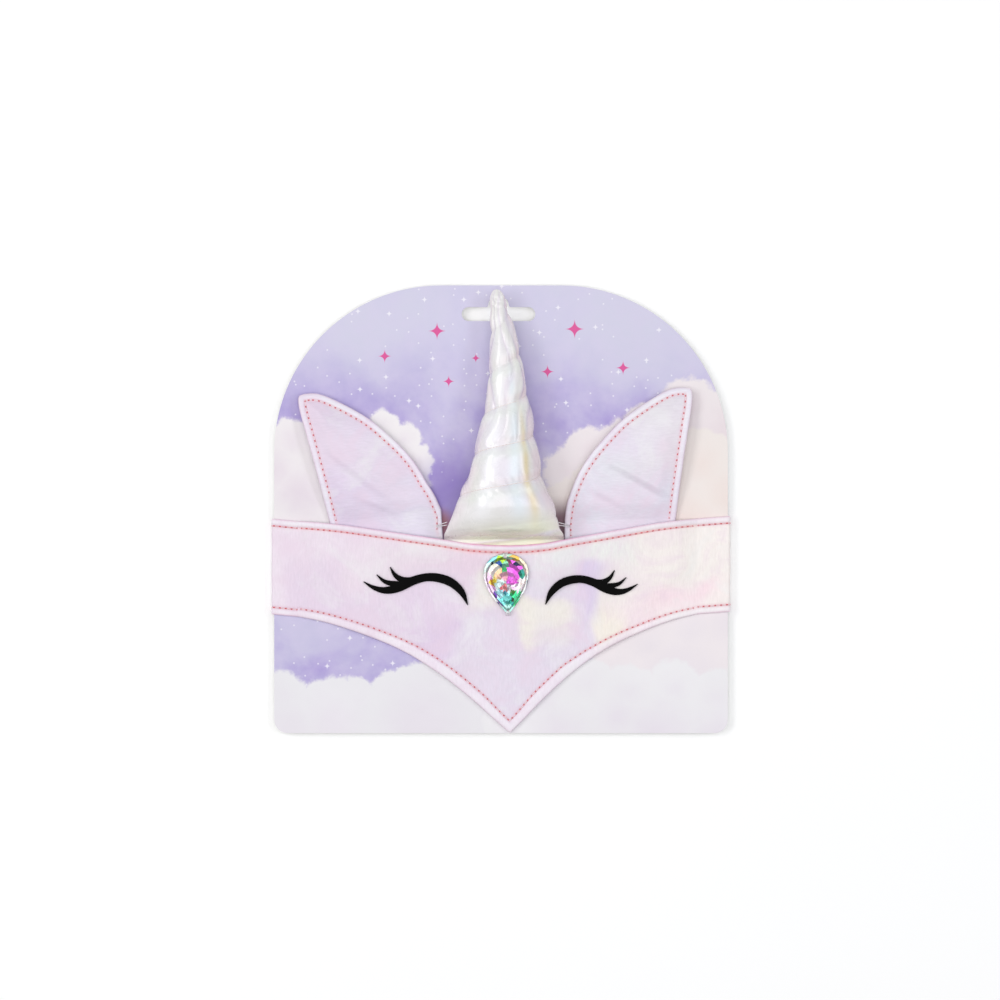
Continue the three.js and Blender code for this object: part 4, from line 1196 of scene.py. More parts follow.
# the grid's rows in millimetres over the seam: close at the foot, even up the horn, close round the tip
horn_along = np.concatenate([np.linspace(-5, 7, 30)[:-1], np.linspace(7, 127.4, 250), [127.9, 128.25, 128.4]])
horn_angle = 2 * np.pi * np.arange(HORN_SIDES) / HORN_SIDES
# angles are counted within half a turn of the front, so that the thread's height runs on without a jump
horn_angle = np.where(horn_angle > 1.5 * np.pi, horn_angle - 2 * np.pi, horn_angle)
grid_angle, grid_along = np.meshgrid(horn_angle, horn_along)
horn_grid = horn_surface(grid_along, grid_angle)
k = np.arange(horn_grid.shape[0] * HORN_SIDES).reshape(-1, HORN_SIDES)
after = np.roll(k, -1, axis=1)
horn_faces = np.stack([k[:-1], k[1:], after[1:], after[:-1]], -1).reshape(-1, 4).tolist()
ends = [horn_grid[0].mean(0), horn_grid[-1].mean(0) + [0, 0.2, 0]]
horn_points = np.concatenate([horn_grid.reshape(-1, 3), ends])
foot, tip = len(horn_points) - 2, len(horn_points) - 1
horn_faces += np.stack([k[0], after[0], np.full(HORN_SIDES, foot)], -1).tolist()
horn_faces += np.stack([after[-1], k[-1], np.full(HORN_SIDES, tip)], -1).tolist()
tints = horn_tint(grid_along, grid_angle)
tints = np.concatenate([tints.reshape(-1, 3), tints[0, :1], tints[-1, :1]])
around = np.stack([grid_angle * 12, grid_along], -1).reshape(-1, 2)
horn_uv = np.concatenate([around, [[0, -5], [0, HORN_LENGTH]]])
horn = make_piece("stuffed_horn", horn_points, horn_faces, foil_satin, uv=horn_uv, tint=tints)
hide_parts("horn")
print("horn:", len(horn_faces), "faces")

# %% [markdown]
# ## Winding thread
# One pale thread winds up the horn. It lies in the dent that it makes, so it can follow the same formula: the
# horn's surface along the helix, raised by half its own thickness.

# %% Thread round the horn
pale_thread, tree, shader, plies, _ = sewing_thread(
    "pale_polyester_thread", 300.0, 0.5, "#E9DAD8", "#F6EFEE", roughness=0.5
)
raise_plies(tree, shader, plies)

turns = np.linspace(-0.3, 3.45, 400)
helix_along = THREAD_FIRST + THREAD_PITCH * turns
helix_angle = np.pi - 2 * np.pi * (turns - np.floor(turns + 1e-9))
helix = horn_surface(helix_along, helix_angle)
# the direction outwards is square to two short steps on the surface
step = 0.02
across = horn_surface(helix_along, helix_angle + step) - horn_surface(helix_along, helix_angle - step)
upward = horn_surface(helix_along + step, helix_angle) - horn_surface(helix_along - step, helix_angle)
outward = np.cross(upward, across)
outward /= np.linalg.norm(outward, axis=1, keepdims=True)
from_axis = helix - horn_surface(helix_along, helix_angle + np.pi)
outward *= np.sign((outward * from_axis).sum(1, keepdims=True))
# it sinks into the folds as it climbs
sunk = ease(turns, 1.6, 3.2)[:, None]
laid = helix + (0.05 - 0.2 * sunk) * outward
winding_rings = rings_round(laid, outward, np.full(len(laid), 0.2), THREAD_SIDES)
winding_faces = tube_faces(len(laid), THREAD_SIDES)
winding = make_piece("horn_winding_thread", winding_rings.reshape(-1, 3), winding_faces, pale_thread)
print("winding thread:", round(float(np.linalg.norm(np.diff(helix, axis=0), axis=1).sum())), "mm long")

# %% [markdown]
# ## Sewn-on stone
# The stone is clear acrylic, moulded with facets, over a foil that shows every colour. Light bends in the
# clear part, so the facets of the foil look broken up and swim. A glass shader alone shows only the cloth
# under it. So there are two pieces: a foil of many small flat faces, each with its own colour, and a clear
# dome over it. Those colours are the coating's rainbow fixed on each face, so they are painted reflection,
# and the pale faces round the rim are painted bright reflection.

# %% Stone's shape
GEM_WIDTH, GEM_LENGTH, GEM_HEIGHT = 23.4, 31.3, 5.6


def teardrop(angle, size):
    """A teardrop with its round end up: x is the sine of the angle times the sine of half the angle, and y
    is minus its cosine."""
    x = GEM_WIDTH / 2 * np.sin(angle) * np.sin(angle / 2) / 0.77
    return np.stack([x * size, -GEM_LENGTH / 2 * np.cos(angle) * size], -1)


GEM_X = 2.9
GEM_BELOW = 4.2  # from the panel's top edge to the stone
GEM_Y = float(panel_edges(np.array([GEM_X]))[1][0]) - GEM_BELOW - GEM_LENGTH / 2


def plain_face(y):
    """The panel's face without hems or waves under the stone's middle line, where its flat back is set."""
    out, top, bottom = panel_edges(np.array([GEM_X]))
    return float(plain_height(out, (top - y) / (top - bottom))[0])


GEM_SLOPE = math.atan2(plain_face(GEM_Y + GEM_LENGTH / 2) - plain_face(GEM_Y - GEM_LENGTH / 2), GEM_LENGTH)
GEM_TURN = math.radians(3)
GEM_LIFT = 0.3  # from the cloth's plain face to the stone's flat back


def seat_stone(points):
    """Turns the stone on its back by 3 degrees, tips it to the panel's slope and sets it on the panel."""
    x = points[:, 0] * math.cos(GEM_TURN) - points[:, 1] * math.sin(GEM_TURN)
    y = points[:, 0] * math.sin(GEM_TURN) + points[:, 1] * math.cos(GEM_TURN)
    z = points[:, 2]
    tipped_y = y * math.cos(GEM_SLOPE) - z * math.sin(GEM_SLOPE)
    tipped_z = y * math.sin(GEM_SLOPE) + z * math.cos(GEM_SLOPE)
    return np.stack([GEM_X + x, GEM_Y + tipped_y, plain_face(GEM_Y) + GEM_LIFT + tipped_z], -1)


print("the stone leans", round(math.degrees(GEM_SLOPE), 1), "degrees with the panel")

# %% Foil under the stone
# facets of foil colour, painted reflections of its rainbow coating with pale ones round the rim as painted
# bright reflections: place across and along the stone in millimetres, reach, colour
FOIL_SPOTS = [
    (-6.3, 7.8, 2.4, "#F8F6E4"),
    (-5.9, 10.6, 1.1, "#16224A"),
    (-3.2, 10.0, 1.2, "#2F5FA8"),
    (1.5, 11.3, 1.2, "#6B2F3C"),
    (5.2, 9.9, 1.2, "#141C48"),
    (-6.6, 12.0, 1.4, "#8FE3EC"),
    (-3.4, 12.4, 1.2, "#B7DB2E"),
    (5.2, 12.6, 1.1, "#F0BC58"),
    (1.0, 13.6, 1.2, "#BFE3C4"),
    (0.4, 9.6, 1.1, "#8FD8B4"),
    (-0.7, 7.4, 0.9, "#1F9E5A"),
    (-4.0, 5.0, 1.6, "#F4BE92"),
    (-1.2, 4.6, 1.4, "#EFA0B4"),
    (3.9, 6.8, 2.9, "#FA6CF0"),
    (3.0, 1.9, 1.7, "#F650E6"),
    (7.4, 4.9, 1.3, "#2E9C8E"),
    (7.2, 0.2, 1.7, "#FCF1F4"),
    (4.9, -1.6, 1.6, "#F8D6F4"),
    (-6.2, 1.8, 1.5, "#E8C63A"),
    (-8.8, 3.6, 1.5, "#F6CCEF"),
    (-7.6, -2.2, 1.3, "#F4D6F3"),
    (-3.4, 0.8, 1.6, "#DDF4F2"),
    (-1.3, -1.3, 1.3, "#EC7A7C"),
    (1.2, -1.4, 1.0, "#C6BECB"),
    (-1.4, -4.4, 0.8, "#17707A"),
    (2.7, -4.0, 0.7, "#3F7A34"),
    (-5.4, -5.4, 1.0, "#6B2EB0"),
    (-3.9, -9.0, 1.0, "#8446C8"),
    (-3.2, -5.2, 1.7, "#BDEFF8"),
    (-1.6, -7.8, 1.8, "#86F2EE"),
    (4.9, -5.2, 1.7, "#32D48E"),
    (4.3, -8.4, 1.5, "#57F0A8"),
    (2.7, -8.0, 0.6, "#35553A"),
    (1.2, -9.4, 1.2, "#1CB6AE"),
    (0.0, -12.0, 1.4, "#B4F4E8"),
    (-6.8, -7.6, 1.2, "#F9F5FB"),
    (7.0, -6.6, 1.4, "#EFF0F7"),
    (9.6, 7.0, 1.4, "#F5EBD8"),
    (8.4, 11.0, 1.5, "#F3E6C4"),
    (-9.0, 10.6, 1.4, "#D9F0F2"),
    (-10.6, 3.6, 1.5, "#F2E6F0"),
    (-8.6, -5.2, 1.3, "#F6F0F4"),
    (-5.2, -11.2, 1.2, "#F2ECF6"),
    (5.6, -10.8, 1.2, "#EAF4F1"),
    (8.8, -3.4, 1.3, "#F3F1F4"),
    (-9.6, 8.0, 1.4, "#E3F2EC"),
    (10.0, 1.0, 1.4, "#EEF1F6"),
]


def make_foil():
    """Rings of ever smaller teardrops joined by triangles. Every other ring stands higher, so the faces tip
    in turn towards all sides."""
    sizes, count, points = [0.98, 0.89, 0.78, 0.66, 0.53, 0.4, 0.26, 0.12], 26, []
    dice = np.random.default_rng(7)
    for row, size in enumerate(sizes):
        angle = 2 * np.pi * (np.arange(count) + 0.5 * (row % 2) + dice.uniform(-0.2, 0.2, count)) / count
        flat = teardrop(angle, size)
        height = 0.25 + 0.5 * (1 - size) + 0.3 * (row % 2) + dice.uniform(-0.1, 0.1, count) * (row > 0)
        points.append(np.column_stack([flat, height]))
    points = np.concatenate(points + [[[0, 0, 0.9]]])
    faces = []
    for row in range(len(sizes) - 1):
        for k in range(count):
            a, b = row * count + k, row * count + (k + 1) % count
            c, d = a + count, b + count
            faces += [[a, b, d], [a, d, c]] if row % 2 else [[a, b, c], [b, d, c]]
    last = (len(sizes) - 1) * count
    faces += [[last + k, last + (k + 1) % count, len(points) - 1] for k in range(count)]
    return points, np.array(faces)


foil_points, foil_faces = make_foil()
# every face gets corners of its own, so that its colour stops at its edges
loose = foil_points[foil_faces.ravel()]
centres = foil_points[foil_faces].mean(1)
spots = np.array([[x, y, reach, *colour(code)[:3]] for x, y, reach, code in FOIL_SPOTS])
away = ((centres[:, None, :2] - spots[:, :2]) ** 2).sum(-1) / spots[:, 2] ** 2
foil_tint = np.repeat(spots[away.argmin(1), 3:6], 3, axis=0)

foil, tree, shader, place = new_material("many_coloured_foil")
tint = add_node(tree, "ShaderNodeAttribute", attribute_name="tint")
crackle = add_node(tree, "ShaderNodeTexVoronoi", {"Vector": place, "Scale": 620.0})
mixed = add_node(
    tree,
    "ShaderNodeMix",
    {0: 0.22, 6: tint.outputs["Color"], 7: crackle.outputs["Color"]},
    data_type="RGBA",
    blend_type="SOFT_LIGHT",
)
tree.links.new(mixed.outputs[2], shader.inputs["Base Color"])
shader.inputs["Metallic"].default_value = 0.6
shader.inputs["Roughness"].default_value = 0.22
foil_piece = make_piece(
    "stone_foil",
    seat_stone(loose),
    np.arange(len(loose)).reshape(-1, 3),
    foil,
    tint=foil_tint,
    smooth=False,
)
print("foil:", len(foil_faces), "small faces in", len(FOIL_SPOTS), "colours")

# %% Clear acrylic over the foil
acrylic, tree, shader, place = new_material("clear_acrylic")
flow = add_node(tree, "ShaderNodeTexNoise", {"Vector": place, "Scale": 240.0, "Detail": 1.0})
swirl = add_node(tree, "ShaderNodeBump", {"Strength": 0.05, "Distance": 0.0002, "Height": flow.outputs[0]})
tree.links.new(swirl.outputs[0], shader.inputs["Normal"])
shader.inputs["Base Color"].default_value = colour("#F7FBFA")
shader.inputs["Roughness"].default_value = 0.02
shader.inputs["IOR"].default_value = 1.49
shader.inputs["Transmission Weight"].default_value = 1.0

# rings of the moulded facets: sides, turn in corners, size and height
CROWN = [
    (32, 0, 1, 0),
    (32, 0, 1, 0.16),
    (16, 0.5, 0.9, 0.36),
    (16, 0, 0.72, 0.68),
    (8, 0.5, 0.5, 0.92),
    (8, 0, 0.3, 1),
]


def make_crown():
    """Rings of teardrop corners, joined by flat triangles in the order that the angles come."""
    points, rings, faces = [], [], []
    for sides, turn, size, height in CROWN:
        angle = 2 * np.pi * (np.arange(sides) + turn) / sides
        rings.append((len(points), angle))
        flat = teardrop(angle, size)
        points += np.column_stack([flat, np.full(sides, height * GEM_HEIGHT)]).tolist()
    for (low_start, low), (high_start, high) in zip(rings[:-1], rings[1:]):
        a, b = 0, 0
        while a < len(low) or b < len(high):
            next_low = low[a % len(low)] + 2 * np.pi * (a // len(low)) + np.pi / len(low)
            next_high = high[b % len(high)] + 2 * np.pi * (b // len(high)) + np.pi / len(high)
            i, j = low_start + a % len(low), high_start + b % len(high)
            if b >= len(high) or (a < len(low) and next_low <= next_high):
                faces.append([i, low_start + (a + 1) % len(low), j])
                a += 1
            else:
                faces.append([i, high_start + (b + 1) % len(high), j])
                b += 1
    start, sides = rings[-1][0], CROWN[-1][0]
    faces.append(list(range(start, start + sides)))
    faces.append(list(range(CROWN[0][0] - 1, -1, -1)))
    return np.array(points), faces


crown_points, crown_faces = make_crown()
stone = make_piece("clear_stone", seat_stone(crown_points), crown_faces, acrylic, smooth=False)
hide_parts("gem")
print("stone:", len(crown_faces), "facets")

# %% [markdown]
# ## Thread that holds the stone
# Two holes near the stone's ends take a few turns of white thread each. They are short bars across the rim,
# made as the stitches are.

# %% Thread bars on the stone
white_thread = sewing_thread("white_polyester_thread", 320.0, 0.4, "#E3DDE2", "#FAF8FA", roughness=0.55)[0]
BAR_POINTS = 9


def arched_path(start, stop, rise, power=1):
    """Nine points from start to stop, raised by a half sine to a power."""
    share = np.linspace(0, 1, BAR_POINTS)[:, None]
    path = np.array(start) + (np.array(stop) - np.array(start)) * share
    path[:, 2] += rise * np.sin(np.pi * share[:, 0]) ** power
    return path


def bar_of_thread(path, radius):
    """Corners and faces of one thread along a path."""
    rings = rings_round(path, straight_up(path), np.full(BAR_POINTS, radius), THREAD_SIDES)
    return rings.reshape(-1, 3), tube_faces(BAR_POINTS, THREAD_SIDES)


def thread_bars():
    """Three bars at each end of the stone, 0.75 mm apart at the most. Each goes from the cloth beside the
    stone over the rim to the hole 2.5 mm in."""
    bars = []
    for end in (1, -1):
        for n in (-1, 0, 1):
            aside = n * 0.75
            start = [aside * 1.3, end * (GEM_LENGTH / 2 + 0.6), 0.05]
            stop = [aside * 0.5, end * (GEM_LENGTH / 2 - 2.5), 1.2]
            bars.append(bar_of_thread(seat_stone(arched_path(start, stop, 1.5, power=0.8)), 0.26))
    return join(bars)


def tacks():
    """Two loose threads at each side that tie the horn's flank to the ear beside it."""
    loops = []
    for near, far in ((-27.6, -33.2), (29.0, 35.4)):
        for n in range(2):
            path = arched_path([near, -6.6 - 1.5 * n, 8.6], [far, -8.4 - 0.6 * n, 6.2], 0.9)
            loops.append(bar_of_thread(path, 0.24))
    return join(loops)


bar_points, bar_faces = thread_bars()
bars = make_piece("stone_thread_bars", bar_points, bar_faces, white_thread)
tack_points, tack_faces = tacks()
tack_piece = make_piece("horn_tack_threads", tack_points, tack_faces, white_thread)
bar_corners = BAR_POINTS * THREAD_SIDES
print("thread bars:", len(bar_points) // bar_corners, "and tacks:", len(tack_points) // bar_corners)

# %% [markdown]
# ## Closed eyes
# The eyes are black film, cut and pressed on with heat. The solids already have their outline and follow the
# panel, so they stay, and only get their finish: nearly black, a little gloss, and a faint print of the
# weave below.

# %% Eyelash film
film, tree, shader, place = new_material("black_heat_set_film")
press = add_node(tree, "ShaderNodeTexNoise", {"Vector": place, "Scale": 700.0, "Detail": 2.0})
tone = add_node(
    tree,
    "ShaderNodeMix",
    {0: press.outputs[0], 6: colour("#030303"), 7: colour("#090809")},
    data_type="RGBA",
)
gloss = add_node(
    tree, "ShaderNodeMapRange", {"Value": press.outputs[0], **NOISE_SPAN, "To Min": 0.48, "To Max": 0.62}
)
print_through = add_node(
    tree, "ShaderNodeBump", {"Strength": 0.15, "Distance": 0.0001, "Height": press.outputs[0]}
)
tree.links.new(tone.outputs[2], shader.inputs["Base Color"])
tree.links.new(gloss.outputs[0], shader.inputs["Roughness"])
tree.links.new(print_through.outputs[0], shader.inputs["Normal"])
shader.inputs["Specular IOR Level"].default_value = 0.05
for node in ("lash_left", "lash_right"):
    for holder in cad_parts[node].material_slots:
        holder.material = film
print("film on both eyes")

# %% [markdown]
# ## Display card
# The card is coated board, printed on its face with a watercolour sky: lilac and violet above, banks of
# cloud in cream and blush at the sides, and white along the bottom. A picture file would be one way. Here
# the print is worked out by nodes: washes are noise, a cloud bank is the outline of a few overlapping
# circles, and the tiny stars are a Voronoi pattern measured so that its spots have four points.

# %% Card's printed sky
print_card, tree, shader, spot = new_material("coated_board_with_print")
split = add_node(tree, "ShaderNodeSeparateXYZ", {0: spot})
wash = add_node(
    tree,
    "ShaderNodeTexNoise",
    {"Vector": spot, "Scale": 16.0, "Detail": 5.0, "Roughness": 0.55, "Distortion": 0.4},
)
grain = add_node(
    tree, "ShaderNodeTexNoise", {"Vector": spot, "Scale": 95.0, "Detail": 4.0, "Roughness": 0.6}
)
# the sky is palest at the top edge and violet from 85 mm below it, wherever the wash is strong
high_fade = add_node(
    tree,
    "ShaderNodeMapRange",
    {"Value": split.outputs[1], "From Min": 0.03, "From Max": 0.1, "To Min": 1.0, "To Max": 0.2},
    interpolation_type="SMOOTHSTEP",
)
wash_step = add_node(
    tree,
    "ShaderNodeMapRange",
    {"Value": wash.outputs[0], "From Min": 0.36, "From Max": 0.6, "To Min": 0.3, "To Max": 1.0},
    interpolation_type="SMOOTHSTEP",
)
violet_share = add_node(
    tree, "ShaderNodeMath", {0: high_fade.outputs[0], 1: wash_step.outputs[0]}, operation="MULTIPLY"
)
sky = add_node(
    tree,
    "ShaderNodeMix",
    {0: violet_share.outputs[0], 6: colour("#D8D6E9"), 7: colour("#A695D4")},
    data_type="RGBA",
)
grain_step = add_node(
    tree,
    "ShaderNodeMapRange",
    {"Value": grain.outputs[0], "From Min": 0.35, "From Max": 0.7, "To Max": 0.35},
)
sky = add_node(
    tree,
    "ShaderNodeMix",
    {0: grain_step.outputs[0], 6: sky.outputs[2], 7: colour("#DDD3EE")},
    data_type="RGBA",
)
print("washes ready")

# %% Stars of the print
STARS_PER_METRE = 46.0
star_cells = add_node(
    tree,
    "ShaderNodeTexVoronoi",
    {"Vector": spot, "Scale": STARS_PER_METRE, "Exponent": 0.5},
    distance="MINKOWSKI",
    voronoi_dimensions="2D",
)
star = add_node(
    tree,
    "ShaderNodeMapRange",
    {"Value": star_cells.outputs["Distance"], "From Min": 0.11, "From Max": 0.06, "To Max": 0.85},
)
speck_cells = add_node(
    tree, "ShaderNodeTexVoronoi", {"Vector": spot, "Scale": 170.0}, voronoi_dimensions="2D"
)
speck = add_node(
    tree,
    "ShaderNodeMapRange",
    {"Value": speck_cells.outputs["Distance"], "From Min": 0.1, "From Max": 0.05, "To Max": 0.65},
)
speck_dice = add_node(tree, "ShaderNodeSeparateXYZ", {0: speck_cells.outputs["Color"]})
few = add_node(tree, "ShaderNodeMath", {0: speck_dice.outputs[0], 1: 0.68}, operation="GREATER_THAN")
speck = add_node(tree, "ShaderNodeMath", {0: speck.outputs[0], 1: few.outputs[0]}, operation="MULTIPLY")
lights = add_node(tree, "ShaderNodeMath", {0: star.outputs[0], 1: speck.outputs[0]}, operation="MAXIMUM")
picture = add_node(
    tree, "ShaderNodeMix", {0: lights.outputs[0], 6: sky.outputs[2], 7: colour("#F6F3FC")}, data_type="RGBA"
)
# a few larger ones are printed in bright pink: middle x, middle y and arm, in millimetres
PINK_STARS = [
    (-60, 79, 3.4),
    (-33, 92, 4.4),
    (-27, 66, 3.0),
    (24, 71, 3.4),
    (38, 93, 4.8),
    (63, 73, 3.6),
    (-13, 78, 2.4),
]


def pink_star(tree, spot, x, y, arm):
    """1 inside a four-pointed star: there the square roots of the offsets across and up, each measured in
    arms, add up to less than 1."""
    moved = add_node(tree, "ShaderNodeVectorMath", {0: spot, 1: (x * MM, y * MM, 0)}, operation="SUBTRACT")
    sized = add_node(
        tree, "ShaderNodeVectorMath", {0: moved.outputs[0], "Scale": 1 / (arm * MM)}, operation="SCALE"
    )
    plain = add_node(tree, "ShaderNodeVectorMath", {0: sized.outputs[0]}, operation="ABSOLUTE")
    parts = add_node(tree, "ShaderNodeSeparateXYZ", {0: plain.outputs[0]})
    across = add_node(tree, "ShaderNodeMath", {0: parts.outputs[0]}, operation="SQRT")
    upward = add_node(tree, "ShaderNodeMath", {0: parts.outputs[1]}, operation="SQRT")
    both = add_node(tree, "ShaderNodeMath", {0: across.outputs[0], 1: upward.outputs[0]}, operation="ADD")
    inside = add_node(
        tree, "ShaderNodeMapRange", {"Value": both.outputs[0], "From Min": 1.12, "From Max": 1.0}
    )
    return inside.outputs[0]


pink_share = None
for x, y, arm in PINK_STARS:
    inside = pink_star(tree, spot, x, y, arm)
    if pink_share is not None:
        inside = add_node(tree, "ShaderNodeMath", {0: pink_share, 1: inside}, operation="MAXIMUM").outputs[0]
    pink_share = inside
picture = add_node(
    tree, "ShaderNodeMix", {0: pink_share, 6: picture.outputs[2], 7: colour("#E0589C")}, data_type="RGBA"
)
print("white stars are about", round(1000 / STARS_PER_METRE), "mm apart, and", len(PINK_STARS), "are pink")

# %% Cloud banks of the print
# each bank has its colour at the rim, its colour below, how far down that is reached, and its circles: middle
# x, middle y and radius, in millimetres
CLOUD_BANKS = [
    (
        ("#F0E8EA", "#EADDE2", 26),
        [(96, 52, 17), (78, 40, 17), (60, 33, 14), (114, 40, 22), (100, 22, 34), (66, 14, 26), (46, 30, 14)],
        [(34, 20, 13)],
    ),
    (
        ("#F2EAE6", "#EFE0DB", 30),
        [(104, 24, 19), (86, 12, 20), (118, 6, 24), (66, 2, 20), (48, 10, 15), (34, 4, 13), (30, -10, 14)],
        [(96, -14, 34)],
    ),
    (
        ("#F1ECEE", "#E6DAE4", 26),
        [(-108, 34, 14), (-92, 24, 13), (-118, 20, 20), (-104, 8, 22), (-84, 4, 15)],
    ),
    (
        ("#F3EFF0", "#E4D9E4", 22),
        [(-60, 44, 8), (-50, 36, 9), (-62, 30, 12), (-44, 24, 10), (-48, 14, 12)],
    ),
    (
        ("#F1E9EC", "#ECE4EA", 26),
        [(98, -62, 20), (76, -70, 18), (118, -56, 22), (60, -84, 17), (92, -92, 34)],
    ),
    (
        ("#ECEAEE", "#EAE4EC", 30),
        [(-112, -96, 14), (-92, -98, 12), (-74, -100, 13), (-54, -96, 15), (-34, -90, 14), (-12, -92, 18)],
        [(-86, -112, 26), (-40, -112, 34), (-112, -116, 26), (4, -118, 26)],
    ),
    (
        ("#EFEDF0", "#EAE3EC", 30),
        [(22, -98, 17), (44, -90, 15), (66, -96, 17), (90, -92, 15), (112, -98, 16), (30, -118, 26)],
        [(80, -118, 30), (60, -108, 22), (112, -116, 24), (4, -112, 14)],
    ),
]
# the paper's grain moves the rims of all banks in and out by up to 2.2 mm
ragged = add_node(
    tree,
    "ShaderNodeMapRange",
    {"Value": grain.outputs[0], **NOISE_SPAN, "To Min": -0.0022, "To Max": 0.0022},
)


def cloud_bank(tree, below, spot, upper, lower, depth, circles):
    """Lays one bank over the picture. Its reach is the largest of radius less distance over its circles,
    so its rim is scalloped. The colour runs from upper to lower with the depth under the rim."""
    reach = None
    for x, y, radius in circles:
        far = add_node(
            tree, "ShaderNodeVectorMath", {0: spot, 1: (x * MM, y * MM, CARD_FACE * MM)}, operation="DISTANCE"
        )
        inside = add_node(
            tree, "ShaderNodeMath", {0: radius * MM, 1: far.outputs["Value"]}, operation="SUBTRACT"
        )
        if reach is not None:
            inside = add_node(tree, "ShaderNodeMath", {0: reach, 1: inside.outputs[0]}, operation="MAXIMUM")
        reach = inside.outputs[0]
    worn = add_node(tree, "ShaderNodeMath", {0: reach, 1: ragged.outputs[0]}, operation="ADD")
    mask = add_node(
        tree,
        "ShaderNodeMapRange",
        {"Value": worn.outputs[0], "From Min": -0.0006, "From Max": 0.0022},
        interpolation_type="SMOOTHSTEP",
    )
    deep = add_node(
        tree,
        "ShaderNodeMapRange",
        {"Value": worn.outputs[0], "From Min": 0.001, "From Max": depth * MM},
        interpolation_type="SMOOTHSTEP",
    )
    body = add_node(
        tree, "ShaderNodeMix", {0: deep.outputs[0], 6: colour(upper), 7: colour(lower)}, data_type="RGBA"
    )
    laid = add_node(
        tree, "ShaderNodeMix", {0: mask.outputs[0], 6: below, 7: body.outputs[2]}, data_type="RGBA"
    )
    return laid.outputs[2]


picture_so_far = picture.outputs[2]
for (upper, lower, depth), *rows in CLOUD_BANKS:
    picture_so_far = cloud_bank(tree, picture_so_far, spot, upper, lower, depth, sum(rows, []))
print(len(CLOUD_BANKS), "cloud banks")

# %% Darker washes of the print, and painted shadow by the horn
# the card darkens behind the horn's foot: a wide violet wash, and a small brown one at each side of the horn,
# partly print and partly painted shadow where horn and ear meet.
# Each row has the middle's x and y, how far it is full, how far it reaches, its share and its colour.
DARK_WASHES_AND_SHADOWS = [
    (-22, 4, 8, 34, 0.7, "#8F7BC2"),
    (31, -9, 4, 17, 0.92, "#6B4256"),
    (-32, -8, 3, 11, 0.85, "#A86E6C"),
]
for x, y, full, reach, share, hue in DARK_WASHES_AND_SHADOWS:
    away = add_node(
        tree, "ShaderNodeVectorMath", {0: spot, 1: (x * MM, y * MM, CARD_FACE * MM)}, operation="DISTANCE"
    )
    darkening = add_node(
        tree,
        "ShaderNodeMapRange",
        {"Value": away.outputs["Value"], "From Min": reach * MM, "From Max": full * MM, "To Max": share},
        interpolation_type="SMOOTHSTEP",
    )
    darkened = add_node(
        tree, "ShaderNodeMix", {0: darkening.outputs[0], 6: picture_so_far, 7: colour(hue)}, data_type="RGBA"
    )
    picture_so_far = darkened.outputs[2]
print(len(DARK_WASHES_AND_SHADOWS), "deeper washes")

# %% Board behind the print
mottle = add_node(
    tree, "ShaderNodeMapRange", {"Value": wash.outputs[0], **NOISE_SPAN, "To Min": 0.975, "To Max": 1.02}
)
printed = add_node(
    tree, "ShaderNodeVectorMath", {0: picture_so_far, "Scale": mottle.outputs[0]}, operation="SCALE"
)
# bare board shows on the cut edges and the back, with short fibres drawn 2 mm long
fibre_map = add_node(tree, "ShaderNodeMapping", {"Vector": spot, "Scale": (1.0, 0.3, 1.0)})
fibre = add_node(
    tree, "ShaderNodeTexNoise", {"Vector": fibre_map.outputs[0], "Scale": 1500.0, "Detail": 3.0}
)
board = add_node(
    tree,
    "ShaderNodeMix",
    {0: fibre.outputs[0], 6: colour("#EFEDE9"), 7: colour("#F8F7F4")},
    data_type="RGBA",
)
facing = add_node(tree, "ShaderNodeNewGeometry")
facing_z = add_node(tree, "ShaderNodeSeparateXYZ", {0: facing.outputs["Normal"]})
is_face = add_node(tree, "ShaderNodeMath", {0: facing_z.outputs[2], 1: 0.5}, operation="GREATER_THAN")
surface = add_node(
    tree,
    "ShaderNodeMix",
    {0: is_face.outputs[0], 6: board.outputs[2], 7: printed.outputs[0]},
    data_type="RGBA",
)
gloss = add_node(
    tree, "ShaderNodeMapRange", {"Value": grain.outputs[0], **NOISE_SPAN, "To Min": 0.46, "To Max": 0.56}
)
tooth = add_node(tree, "ShaderNodeBump", {"Strength": 0.05, "Distance": 0.0001, "Height": fibre.outputs[0]})
tree.links.new(surface.outputs[2], shader.inputs["Base Color"])
tree.links.new(gloss.outputs[0], shader.inputs["Roughness"])
tree.links.new(tooth.outputs[0], shader.inputs["Normal"])
shader.inputs["IOR"].default_value = 1.5
shader.inputs["Specular IOR Level"].default_value = 0.35
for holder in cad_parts["card"].material_slots:
    holder.material = print_card
print("card printed with", len(tree.nodes), "nodes")

# %% [markdown]
# ## Floor, light and camera
# The photograph looks straight down on a white table, with hardly any shadow: a large soft light overhead and
# white all round. A long lens from far above keeps the outlines as flat as they are there. Its lens length
# follows from the field that it has to cover: 516 mm across at the card's face.

# %% Studio floor
paint, tree, shader, place = new_material("white_studio_floor")
roller = add_node(tree, "ShaderNodeTexNoise", {"Vector": place, "Scale": 3.0, "Detail": 2.0})
white = add_node(
    tree,
    "ShaderNodeMix",
    {0: roller.outputs[0], 6: colour("#FAFAFA"), 7: colour("#FDFDFD")},
    data_type="RGBA",
)
tree.links.new(white.outputs[2], shader.inputs["Base Color"])
shader.inputs["Roughness"].default_value = 0.9
shader.inputs["Specular IOR Level"].default_value = 0.0
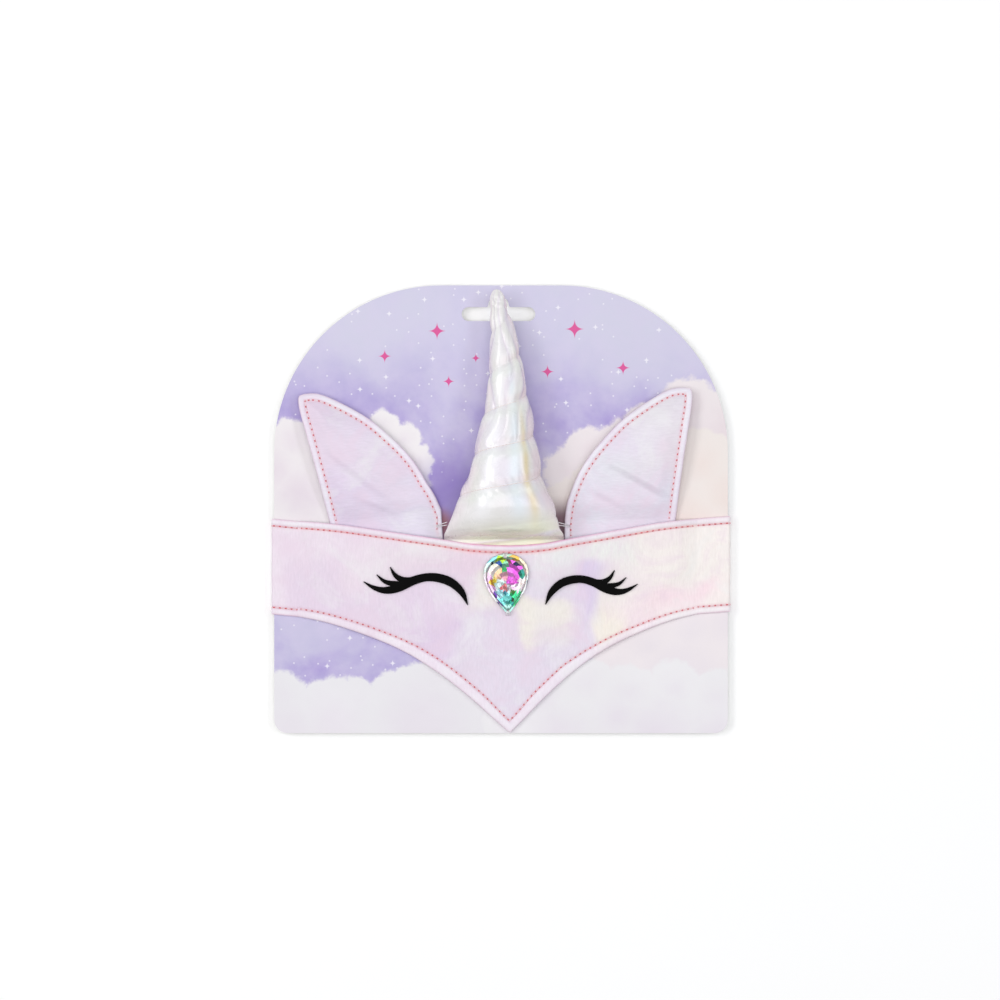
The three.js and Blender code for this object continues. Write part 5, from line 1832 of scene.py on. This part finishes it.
# the table is lit a little from below, which keeps the ground pure white
shader.inputs["Emission Color"].default_value = (1.0, 1.0, 1.0, 1.0)
shader.inputs["Emission Strength"].default_value = 0.07
floor_mesh = bpy.data.meshes.new("studio_floor")
floor_mesh.from_pydata([(-3, -3, 0), (3, -3, 0), (3, 3, 0), (-3, 3, 0)], [], [(0, 1, 2, 3)])
floor_mesh.materials.append(paint)
floor = bpy.data.objects.new("studio_floor", floor_mesh)
bpy.context.scene.collection.objects.link(floor)
print("floor at z = 0")

# %% Lights
world = bpy.data.worlds.new("white_studio")
bpy.context.scene.world = world
world.use_nodes = True
world.node_tree.nodes["Background"].inputs["Color"].default_value = (1.0, 1.0, 1.0, 1.0)
world.node_tree.nodes["Background"].inputs["Strength"].default_value = 0.36


def soft_box(name, place, size, power, tint):
    """A rectangular area light of the given size that faces the object's middle."""
    data = bpy.data.lights.new(name, "AREA")
    data.shape = "RECTANGLE"
    data.size, data.size_y = size
    data.energy = power
    data.color = colour(tint)[:3]
    light = bpy.data.objects.new(name, data)
    light.location = place
    x, y, z = place
    aside = math.hypot(x, y)
    if aside > 0:
        light.rotation_euler = (0.0, -math.atan2(aside, z), math.atan2(-y, -x))
    bpy.context.scene.collection.objects.link(light)


soft_box("overhead_panel", (0.0, 0.0, 2.9), (2.2, 2.2), 30.5, "#FFFFFF")
soft_box("left_window", (-1.3, 0.35, 1.5), (0.7, 1.5), 12.0, "#FFFFFF")
soft_box("right_window", (1.2, 0.2, 1.4), (0.35, 1.5), 6.0, "#F4F8FF")
print("three soft boxes and a white room")

# %% Camera
CAMERA_HEIGHT = 2.5
FIELD = 0.516  # metres across the picture at the card's face, so a pixel of the photograph is 0.516 mm
SENSOR = 36.0
AIM = (-0.000516, 0.004773)  # the photograph's middle lies a pixel to the left of the card's, and nine above
camera_data = bpy.data.cameras.new("camera")
camera_data.sensor_width = SENSOR
camera_data.lens = SENSOR * (CAMERA_HEIGHT - CARD_FACE * MM) / FIELD
camera = bpy.data.objects.new("camera", camera_data)
camera.location = (*AIM, CAMERA_HEIGHT)
bpy.context.scene.collection.objects.link(camera)
bpy.context.scene.camera = camera
bpy.context.scene.view_settings.view_transform = "Standard"
print("lens", round(camera_data.lens, 1), "mm")
